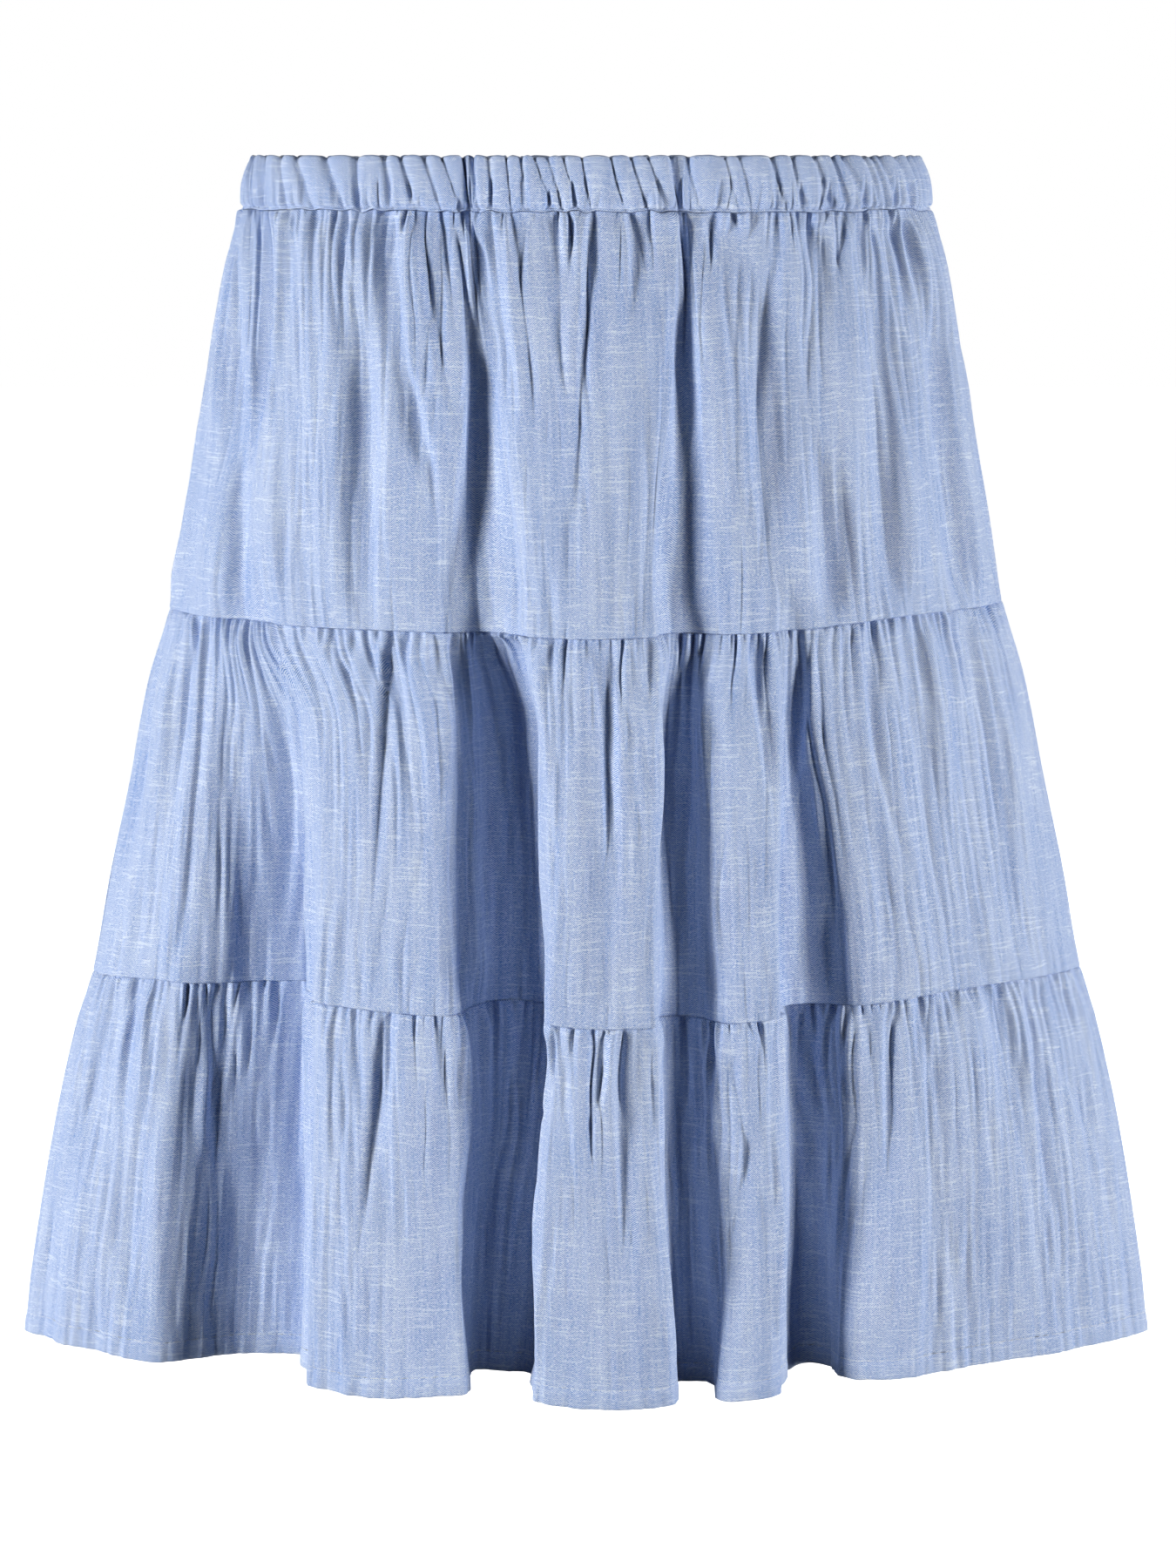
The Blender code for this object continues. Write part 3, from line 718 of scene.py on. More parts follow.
@dataclass
class Panel:
    """One panel of a tier: a sheet of cloth between two seams, gathered at its top."""

    tier: Tier
    side: Side
    columns: Columns
    column_count: int
    row_pitch: float

    # How thick the cloth is
    WALL = 0.6
    # How much deeper a crease is built than it is listed, how much wider on its sharp and its soft side,
    # the most that creases and puckers may press in together, and the share of a valley that is built
    PRESS = 1.9
    FLANK_GROWTH = 1.6
    SPREAD_GROWTH = 1.3
    DEEPEST = 3.9
    VALLEY_SHARE = 0.92
    # A crease begins this far above its head with this share of its depth, and has all of it soon after.
    # One whose head is this far below the seam comes on over a part of its length instead.
    CREASE_START = 2
    CREASE_SHARE = 0.35
    CREASE_RISE = 9.0
    LATE_START = 5
    LATE_RISE = 5
    # How much of the cloth is turned in at a seam, and how far from the seam's middle it lies
    ALLOWANCE = 4.5
    SEAM_GAP = 0.15
    # The distances over which ripples calm down towards the side seams, the head and the foot, and the
    # share of them that is left at the foot
    SIDE_CALM = 16.0
    HEAD_CALM = 14.0
    FOOT_CALM = 22.0
    FOOT_SHARE = 0.2
    # The crumple: its strength, how far it wanders sideways, the power that rounds its ridges and the
    # mean that this leaves, the share of it below the gathers, and how far the gathers reach
    CRUMPLE = 2.4
    WANDER = 4.0
    RIDGE_POWER = 0.75
    RIDGE_MEAN = 0.4
    CRUMPLE_SHARE = 0.4
    GATHER_REACH = 70.0
    # How far the cloth rolls out below its head, and how far below that is
    ROLL = 0.6
    ROLL_DROP = 7.0
    # What the seams and the hem's stitches draw in, and how far out the turned hem stands
    SIDE_GROOVE = Groove(0.8, 1.0)
    HEAD_GROOVE = Groove(1.0, 0.5)
    FOOT_GROOVE = Groove(0.8, 0.35)
    HEM_GROOVE = Groove(0.8, 0.9)
    HEM_SWELL = 0.55
    # Rows of points below the head, above the foot or hem, and inside the hem with their insets
    HEAD_ROWS = (0.15, 0.5, 1.1, 2.0, 3.2, 4.8, 7.0, 10.0, 13.5)
    FOOT_ROWS = (6.0, 3.0, 1.4, 0.5, 0.15)
    HEM_ROWS = (15.0, 12.6, 11.8, 11.0, 10.2, 7.0, 3.6, 1.3, 0.4)
    TURNED_ROWS = ((0.0, 0.85), (0.4, 1.45), (1.4, 1.7), (5.0, 1.7), (9.5, 1.6), (12.0, 1.5))

    def __post_init__(self) -> None:
        self.top, self.bottom = self.tier.levels
        self.crinkle, self.hem = self.tier.crinkle, self.tier.hem
        seed = 100 * self.tier.number + (0 if self.side is Side.FRONT else 50)
        self.creases = (FRONT_CREASES if self.side is Side.FRONT else BACK_CREASES)[self.tier.number]
        self.broad = Ripples(seed + 1, spacing=18.0, wave=95.0)
        self.wander = Ripples(seed + 5, spacing=30.0, wave=38.0)
        self.middling = Ripples(seed + 2, spacing=6.4, wave=55.0)
        self.fine = Ripples(seed + 3, spacing=2.8, wave=34.0)
        ends = self.columns.shares(self.side, 2)
        seam = self.columns.distances(outline_at(self.top), ends)
        self.puckers = Puckers(seed + 4, float(seam[1] - seam[0]))
        self.ends = ends

    @property
    def name(self) -> str:
        """The name of the solid that this panel stands for."""
        return f"tier{self.tier.number}_{self.side.value}"

    def rows(self) -> list[SheetRow]:
        """The rows of points, from the seam at the top down, and up again inside a turned hem."""
        head = [self.top + below for below in self.HEAD_ROWS]
        foot = [self.bottom - above for above in (self.HEM_ROWS if self.hem else self.FOOT_ROWS)]
        count = max(2, round((foot[0] - head[-1]) / self.row_pitch))
        middle = list(np.linspace(head[-1], foot[0], count + 1)[1:-1])
        rows = [SheetRow(self.top + self.SEAM_GAP, self.ALLOWANCE)]
        rows += [SheetRow(float(drop), 0.0) for drop in head + middle + foot]
        if self.hem:
            rows += [SheetRow(self.bottom - above, inset) for above, inset in self.TURNED_ROWS]
        else:
            rows.append(SheetRow(self.bottom - self.SEAM_GAP, self.ALLOWANCE))
        return rows

    def relief(self, shares: np.ndarray, distances: np.ndarray, drop: float) -> np.ndarray:
        """How far the cloth stands out from its outline at one level.

        Args:
            shares: Places of the points, as shares of the reference outline.
            distances: Their distances along the outline of this level.
            drop: The level.

        Returns:
            The height of each point, in millimetres.
        """
        outline = outline_at(drop)
        below, above = drop - self.top, self.bottom - drop
        local = (shares - self.ends[0]) / (self.ends[1] - self.ends[0])
        across = local * self.tier.cut[0]
        ends = self.columns.distances(outline, self.ends)
        length = float(ends[1] - ends[0])
        edge = np.minimum(distances - ends[0], ends[1] - distances)
        calm = smooth_step(edge / self.SIDE_CALM)
        free = float(smooth_step(np.array(below / self.HEAD_CALM)))
        if not self.hem:
            risen = float(smooth_step(np.array(above / self.FOOT_CALM)))
            free *= self.FOOT_SHARE + (1 - self.FOOT_SHARE) * risen
        height = self.crinkle.broad * self.broad.at(across, drop) * free * calm
        wandered = across + self.WANDER * self.wander.at(across, drop)
        crumple = np.abs(self.middling.at(wandered, drop)) ** self.RIDGE_POWER - self.RIDGE_MEAN
        crumple *= self.CRUMPLE * self.crinkle.middling * calm
        gathered = math.exp(-((below / self.GATHER_REACH) ** 2))
        height += crumple * (self.CRUMPLE_SHARE + (1 - self.CRUMPLE_SHARE) * gathered)
        height += self.crinkle.fine * self.fine.at(across, drop) * calm
        height += self.ROLL * (below / self.ROLL_DROP) * math.exp(1 - below / self.ROLL_DROP)
        pinch = self.puckers.press(local, length, below)
        for crease in self.creases:
            pinch += self.crease_press(crease, outline, distances, drop)
        height -= np.where(pinch > 0, self.DEEPEST * np.tanh(pinch / self.DEEPEST), pinch)
        for valley in VALLEYS[self.side]:
            height -= self.VALLEY_SHARE * self.crease_press(valley, outline, distances, drop)
        height -= self.SIDE_GROOVE.depth * np.exp(-np.clip(edge, 0, None) / self.SIDE_GROOVE.width)
        height -= self.HEAD_GROOVE.depth * math.exp(-below / self.HEAD_GROOVE.width)
        if self.hem:
            from_stitches = (above - self.hem.stitch) / self.HEM_GROOVE.width
            height -= self.HEM_GROOVE.depth * math.exp(-(from_stitches ** 2))
            height += self.HEM_SWELL * float(above < self.hem.fold)
        else:
            height -= self.FOOT_GROOVE.depth * math.exp(-above / self.FOOT_GROOVE.width)
        return height

    def crease_press(
        self, crease: Crease, outline: Outline, distances: np.ndarray, drop: float
    ) -> np.ndarray:
        """How far one crease presses the cloth in at one level.

        Args:
            crease: The crease.
            outline: The outline of this level.
            distances: Distances of the points along it.
            drop: The level.

        Returns:
            The depth at each point.
        """
        across, levels = np.array(crease.route, dtype=float).T
        if not levels[0] - self.CREASE_START <= drop <= levels[-1]:
            return np.zeros_like(distances)
        middle = outline.distance_at(self.side, np.interp(drop, levels, across))
        part = np.clip((drop - levels[0]) / (levels[-1] - levels[0]), 0, 1)
        begun = (drop - levels[0] + self.CREASE_START) / self.CREASE_RISE
        fade = (1 - part ** 2) * min(1.0, self.CREASE_SHARE + begun)
        if levels[0] - self.top > self.LATE_START:
            fade *= min(1.0, part * self.LATE_RISE)
        flank, spread = self.FLANK_GROWTH * crease.flank, self.SPREAD_GROWTH * crease.spread
        return self.PRESS * crease.depth * fade * pressed_line(distances - middle, flank, spread)

    def points_at(self, shares: np.ndarray, row: SheetRow) -> tuple[np.ndarray, np.ndarray, np.ndarray]:
        """Points, outward directions and tangents of the cloth at some places of one row."""
        outline = outline_at(row.drop)
        distances = self.columns.distances(outline, shares)
        points, outward, tangent = outline.at(distances)
        height = self.relief(shares, distances, row.drop) - row.inset
        return points + outward * height[:, None], outward, tangent

    def build(self) -> bpy.types.Object:
        """Make the panel's sheet, with its cloth map in metres and its wall."""
        rows = self.rows()
        shares = self.columns.shares(self.side, self.column_count)
        local = (shares - shares[0]) / (shares[-1] - shares[0])
        places = np.empty((len(rows), self.column_count, 3))
        cloth = np.empty((len(rows), self.column_count, 2))
        length = 0.0
        for number, row in enumerate(rows):
            places[number] = self.points_at(shares, row)[0]
            length += abs(row.drop - rows[number - 1].drop) if number else 0.0
            cloth[number, :, 0] = local * self.tier.cut[0]
            cloth[number, :, 1] = -(self.top + length)
        mesh = laid_grid(self.name, places, cloth)
        thing = add_object(f"{self.name}_cloth", mesh)
        wall = thing.modifiers.new("wall", "SOLIDIFY")
        wall.thickness = self.WALL * MM
        wall.offset = -1.0
        return thing


def as_mesh(bm: bmesh.types.BMesh, name: str) -> bpy.types.Mesh:
    """Keep a bmesh as a new mesh, and free it."""
    mesh = bpy.data.meshes.new(name)
    bm.to_mesh(mesh)
    bm.free()
    return mesh


def add_object(name: str, data: bpy.types.ID) -> bpy.types.Object:
    """Put a mesh, a light or a camera into the scene as an object."""
    thing = bpy.data.objects.new(name, data)
    bpy.context.collection.objects.link(thing)
    return thing


def laid_grid(name: str, places: np.ndarray, cloth: np.ndarray, closed: bool = False) -> bpy.types.Mesh:
    """Lay a grid on rows of points, top row first, with its faces pointing out.

    Args:
        name: The mesh's name.
        places: Points in millimetres, by row and column.
        cloth: The same points on the flat cloth, in millimetres.
        closed: Whether the last row and column are the first ones again.

    Returns:
        The mesh, in metres.
    """
    row_count, column_count = places.shape[:2]
    bm = bmesh.new()
    bmesh.ops.create_grid(bm, x_segments=column_count - 1, y_segments=row_count - 1, size=0.5)
    mesh = as_mesh(bm, name)
    flat = np.empty(len(mesh.vertices) * 3)
    mesh.vertices.foreach_get("co", flat)
    flat = flat.reshape(-1, 3)
    column = np.rint((flat[:, 0] + 0.5) * (column_count - 1)).astype(int)
    row = np.rint((0.5 - flat[:, 1]) * (row_count - 1)).astype(int)
    mesh.vertices.foreach_set("co", (places[row, column] * MM).ravel())
    corners = np.empty(len(mesh.loops), dtype=int)
    mesh.loops.foreach_get("vertex_index", corners)
    layer = mesh.uv_layers.new(name=CLOTH_MAP)
    layer.uv.foreach_set("vector", (cloth[row, column] * MM)[corners].ravel())
    if closed:
        bm = bmesh.new()
        bm.from_mesh(mesh)
        bmesh.ops.remove_doubles(bm, verts=bm.verts, dist=WELD_DISTANCE)
        bmesh.ops.recalc_face_normals(bm, faces=bm.faces)
        bm.to_mesh(mesh)
        bm.free()
    mesh.shade_smooth()
    return mesh


class RidgeLine(NamedTuple):
    """A pinched line between two ridges of the casing, across the skirt at its top edge and its foot."""

    top: float
    foot: float


FRONT_LINES = tuple(RidgeLine(*ends) for ends in (
    (-164, -166), (-152, -152), (-140, -138), (-131, -124), (-116.5, -108), (-101.5, -101), (-88, -85),
    (-81, -74), (-70, -63), (-63, -54.5), (-52, -46), (-43, -38), (-32, -31), (-25, -23), (-19, -16),
    (-14, -6), (-8, -2), (-2, 4), (5.5, 9), (17, 23), (25, 32), (32, 40), (42, 49), (56, 62), (71, 76),
    (76, 81), (89, 98), (101, 107), (114, 124), (125, 132), (131, 144), (145.5, 151), (150, 155),
    (154, 161), (165, 171),
))


@dataclass
class Casing:
    """The waistband: a casing that an elastic draws into puffy, leaning ridges."""

    cut_width: float = 1120.0
    face_width: float = 27.5
    column_count: int = 1250
    seed: int = 7

    # Rows of points from the top edge down the face, round the foot and up inside
    SECTION = tuple(SheetRow(*row) for row in (
        (0.0, 1.5), (0.3, 0.95), (1.0, 0.45), (2.2, 0.15), (4.0, 0.0), (7.0, 0.0), (10.0, 0.0), (13.0, 0.0),
        (16.0, 0.0), (19.0, 0.0), (21.5, 0.0), (23.6, 0.1), (25.0, 0.4), (25.9, 0.9), (26.5, 0.9),
        (27.1, 0.7), (27.35, 1.2), (27.2, 4.8), (24.0, 3.0), (14.0, 3.0), (4.0, 3.0), (0.8, 2.4),
    ))
    OUTER_ROWS = 17
    STITCH_ROW = SheetRow(26.2, 0.9)
    # Where the ridges are measured, and those behind: their usual width, its scatter and its limits
    RIDGE_LEVEL = 12.0
    RIDGE_WIDTH = 6.8
    RIDGE_SCATTER = 0.38
    RIDGE_LIMITS = (3.2, 13.0)
    MOST_RIDGES = 200
    # How far the lines behind lean, in waves round the waist, and how much that scatters
    LEAN = 3.5
    LEAN_WAVE = 60.0
    LEAN_SCATTER = 1.6
    # How far each line wanders on its way down, and how fast
    WOBBLE = 0.4
    WOBBLE_TURNS = 5.0
    WOBBLE_PHASES = (0, 6)
    # The narrowest that a ridge gets where two lines meet
    NARROWEST = 0.3
    # How far a ridge swells as a share of its width, how much that scatters, its limits and its roundness
    SWELL = 0.33
    SWELL_SCATTER = (0.8, 1.15)
    SWELL_LIMITS = (0.9, 2.7)
    DOME_POWER = 0.75
    # What the lines and the stitches draw in, the latter as a share, and how low the valleys lie
    LINE_GROOVE = Groove(0.5, 0.55)
    STITCH_GROOVE = Groove(0.6, 1.3)
    SUNK = 1.1
    # Heights of the small folds and of the crinkle
    FOLD_HEIGHT = 0.22
    CRINKLE_HEIGHT = 0.12
    # The puckers above the seam: how far up they reach, and their share
    PUCKER_REACH = 14
    PUCKER_SHARE = 0.7
    # How the inner face answers the ridges, and the top edge, down to this level
    INNER_SHARE = -0.25
    EDGE_DROP = 1.5
    EDGE_SHARE = 0.6

    def __post_init__(self) -> None:
        random = np.random.RandomState(self.seed)
        self.columns = Columns(TOP_REFERENCE, 0.0)
        outline = outline_at(self.RIDGE_LEVEL)
        self.around = outline.length
        tops, feet = (np.array(ends) for ends in zip(*((line.top, line.foot) for line in FRONT_LINES)))
        tops, feet = outline.distance_at(Side.FRONT, tops), outline.distance_at(Side.FRONT, feet)
        free = self.around - (tops[-1] - tops[0])
        widths = random.normal(math.log(self.RIDGE_WIDTH), self.RIDGE_SCATTER, self.MOST_RIDGES)
        widths = np.exp(widths).clip(*self.RIDGE_LIMITS)
        count = int(np.searchsorted(np.cumsum(widths), free))
        steps = np.cumsum(widths[:count]) * free / widths[:count].sum()
        hidden = tops[-1] + steps[:-1]
        lean = self.LEAN * np.sin(hidden / self.LEAN_WAVE)
        lean += random.uniform(-self.LEAN_SCATTER, self.LEAN_SCATTER, len(hidden))
        self.starts = np.concatenate(((tops + feet) / 2, hidden))
        self.lean = np.concatenate((feet - tops, lean))
        widths = np.diff(np.concatenate((self.starts, self.starts[:1] + self.around)))
        swell = self.SWELL * widths * random.uniform(*self.SWELL_SCATTER, len(widths))
        self.swell = swell.clip(*self.SWELL_LIMITS)
        self.wobble = random.uniform(-self.WOBBLE, self.WOBBLE, len(widths))
        self.phase = random.uniform(*self.WOBBLE_PHASES, len(widths))
        self.folds = Ripples(self.seed + 2, spacing=3.4, wave=30.0)
        self.fine = Ripples(self.seed + 1, spacing=1.7, wave=9.0)
        self.puckers = Puckers(self.seed + 3, self.around)

    def relief(self, shares: np.ndarray, drop: float) -> np.ndarray:
        """How far the ridges stand out at one level, between the pinched lines that part them."""
        part = drop / self.face_width
        wandered = self.wobble * np.sin(self.phase + self.WOBBLE_TURNS * part)
        lines = self.starts + self.lean * (part - 0.5) + wandered
        order = np.argsort(lines)
        lines, swell = lines[order], self.swell[order]
        lines = np.concatenate((lines, lines[:1] + self.around))
        place = np.mod(shares * self.around - lines[0], self.around) + lines[0]
        number = np.clip(np.searchsorted(lines, place, side="right") - 1, 0, len(swell) - 1)
        width = np.maximum(lines[number + 1] - lines[number], self.NARROWEST)
        across = (place - lines[number]) / width
        dome = (1 - np.abs(2 * across - 1) ** 2.0) ** self.DOME_POWER
        pinch = np.exp(-np.minimum(across, 1 - across) * width / self.LINE_GROOVE.width)
        above = self.STITCH_ROW.drop - drop
        stitched = 1 - self.STITCH_GROOVE.depth * math.exp(-((above / self.STITCH_GROOVE.width) ** 2))
        height = swell[number] * dome * stitched - self.LINE_GROOVE.depth * pinch - self.SUNK
        height += self.FOLD_HEIGHT * self.folds.at(shares * self.around, drop)
        height += self.CRINKLE_HEIGHT * self.fine.at(shares * self.around, drop)
        if 0 <= above < self.PUCKER_REACH:
            height -= self.PUCKER_SHARE * self.puckers.press(shares, self.around, above)
        return height

    def points_at(self, shares: np.ndarray, row: SheetRow, outer: bool = True) -> tuple[np.ndarray, ...]:
        """Points, outward directions and tangents of the casing at some places of one row."""
        outline = outline_at(row.drop)
        points, outward, tangent = outline.at(self.columns.distances(outline, shares))
        relief = self.relief(shares, row.drop)
        height = relief if outer else self.INNER_SHARE * relief
        points = points + outward * (height - row.inset)[:, None]
        if row.drop < self.EDGE_DROP:
            points[:, 2] += self.EDGE_SHARE * relief
        return points, outward, tangent

    def build(self) -> bpy.types.Object:
        """Make the casing as one closed ring."""
        shares = np.linspace(0, 1, self.column_count + 1)
        rows = [*self.SECTION, self.SECTION[0]]
        places = np.empty((len(rows), len(shares), 3))
        cloth = np.empty((len(rows), len(shares), 2))
        length = 0.0
        for number, row in enumerate(rows):
            outer = number < self.OUTER_ROWS or number == len(rows) - 1
            places[number] = self.points_at(shares, row, outer)[0]
            if number:
                before = rows[number - 1]
                length += math.hypot(row.drop - before.drop, row.inset - before.inset)
            cloth[number, :, 0] = shares * self.cut_width
            cloth[number, :, 1] = -length
        places[:, -1] = places[:, 0]
        return add_object("waistband_cloth", laid_grid("waistband", places, cloth, closed=True))


@dataclass(frozen=True)
class StitchShape:
    """One visible stitch of a row: how long it is, how far on the next one starts, and its thread."""

    length: float
    pitch: float
    thread: float
    lift: float = 0.05


class StitchRow:
    """A row of stitches round the skirt, as one mesh of small rounded pieces of thread."""

    def __init__(self, name: str, shape: StitchShape) -> None:
        self.name = name
        self.shape = shape
        self.places: list[np.ndarray] = []

    def sew(self, points: np.ndarray, outward: np.ndarray) -> None:
        """Add stitches along a stretch of closely spaced points of the cloth."""
        steps = np.linalg.norm(np.diff(points, axis=0), axis=1)
        along = np.concatenate(([0.0], np.cumsum(steps)))
        count = int(along[-1] / self.shape.pitch)
        starts = (np.arange(count) + 0.2) * along[-1] / count
        head, foot, out = (
            np.column_stack([np.interp(at, along, column) for column in columns.T])
            for at, columns in (
                (starts, points),
                (starts + self.shape.length, points),
                (starts + self.shape.length / 2, outward),
            )
        )
        run = foot - head
        forward = run / np.linalg.norm(run, axis=1)[:, None]
        sideways = np.cross(out, forward)
        sideways /= np.linalg.norm(sideways, axis=1)[:, None]
        up = np.cross(forward, sideways)
        middle = (head + foot) / 2 + up * self.shape.lift
        half = self.shape.thread / 2
        self.places += list(np.stack((run / 2, sideways * half, up * half, middle), axis=1))

    def finish(self) -> bpy.types.Object:
        """Copy one rounded stitch to every place, as one object."""
        bm = bmesh.new()
        bmesh.ops.create_uvsphere(bm, u_segments=6, v_segments=5, radius=1.0)
        bmesh.ops.rotate(bm, verts=bm.verts, matrix=Matrix.Rotation(math.pi / 2, 3, "Y"))
        one = np.array([vert.co for vert in bm.verts])
        while len(bm.verts) < len(one) * len(self.places):
            bmesh.ops.duplicate(bm, geom=[*bm.verts, *bm.edges, *bm.faces])
        bm.verts.ensure_lookup_table()
        bmesh.ops.delete(bm, geom=bm.verts[len(one) * len(self.places) :], context="VERTS")
        mesh = as_mesh(bm, self.name)
        turns = np.array(self.places)
        placed = np.einsum("vi,sij->svj", one, turns[:, :3]) + turns[:, None, 3]
        mesh.vertices.foreach_set("co", (placed * MM).ravel())
        mesh.shade_smooth()
        log.info("%s: %d stitches", self.name, len(self.places))
        return add_object(self.name, mesh)


WHITE = (1.0, 1.0, 1.0, 1.0)


def feed(socket: bpy.types.NodeSocket, value: object) -> None:
    """Link an input to another node's socket, or else set its value."""
    if isinstance(value, bpy.types.NodeSocket):
        socket.id_data.links.new(value, socket)
    else:
        socket.default_value = value


def new_material(name: str) -> bpy.types.Material:
    """Make a material with its usual shader."""
    material = bpy.data.materials.new(name)
    material.use_nodes = True
    return material


def set_shader(material: bpy.types.Material, values: dict[str, object]) -> None:
    """Feed inputs of a material's shader, by name."""
    shader = material.node_tree.nodes["Principled BSDF"]
    for key, value in values.items():
        feed(shader.inputs[key], value)


class Speckle(NamedTuple):
    """A noise of the flat cloth: its waves to a metre across and down, its detail and its roughness."""

    across: float
    down: float
    detail: float = 2.0
    roughness: float = 0.5


class Fleck(NamedTuple):
    """Pale marks in the cloth: their noise, and the bounds between which a mark comes up."""

    speckle: Speckle
    low: float
    high: float


class Wiring:
    """Adds nodes to a node tree and links them by name."""

    def __init__(self, tree: bpy.types.NodeTree) -> None:
        self.tree = tree

    def node(self, kind: str, inputs: dict | None = None, **settings: object) -> bpy.types.Node:
        """Add one node.

        Args:
            kind: The node's type name.
            inputs: Values or sockets for its inputs, by name or number.
            **settings: Its own settings.

        Returns:
            The node.
        """
        made = self.tree.nodes.new(kind)
        for key, value in settings.items():
            setattr(made, key, value)
        for key, value in (inputs or {}).items():
            feed(made.inputs[key], value)
        return made

    def math(self, operation: str, *values: object) -> bpy.types.NodeSocket:
        """Add a Math node on some values, and give its result."""
        inputs = dict(enumerate(values))
        return self.node("ShaderNodeMath", inputs, operation=operation).outputs[0]

    def noise(self, vector: bpy.types.NodeSocket, speckle: Speckle) -> bpy.types.NodeSocket:
        """Add a noise of the flat cloth, and give its values from 0 to 1."""
        scale = (speckle.across, speckle.down, 0.0)
        place = self.node("ShaderNodeVectorMath", {0: vector, 1: scale}, operation="MULTIPLY").outputs[0]
        inputs = {"Vector": place, "Scale": 1.0, "Detail": speckle.detail, "Roughness": speckle.roughness}
        return self.node("ShaderNodeTexNoise", inputs, noise_dimensions="2D").outputs[0]

    def between(self, value: bpy.types.NodeSocket, low: float, high: float) -> bpy.types.NodeSocket:
        """How far a value has come from one bound to another, from 0 to 1."""
        inputs = {"Value": value, "From Min": low, "From Max": high}
        return self.node("ShaderNodeMapRange", inputs, interpolation_type="SMOOTHSTEP").outputs[0]

    def mixed(self, factor: object, first: object, second: object) -> bpy.types.NodeSocket:
        """Mix two colours."""
        made = self.node("ShaderNodeMix", data_type="RGBA")
        for key, value in {"Factor": factor, "A": first, "B": second}.items():
            feed(next(s for s in made.inputs if s.name == key and s.enabled), value)
        return next(s for s in made.outputs if s.enabled)


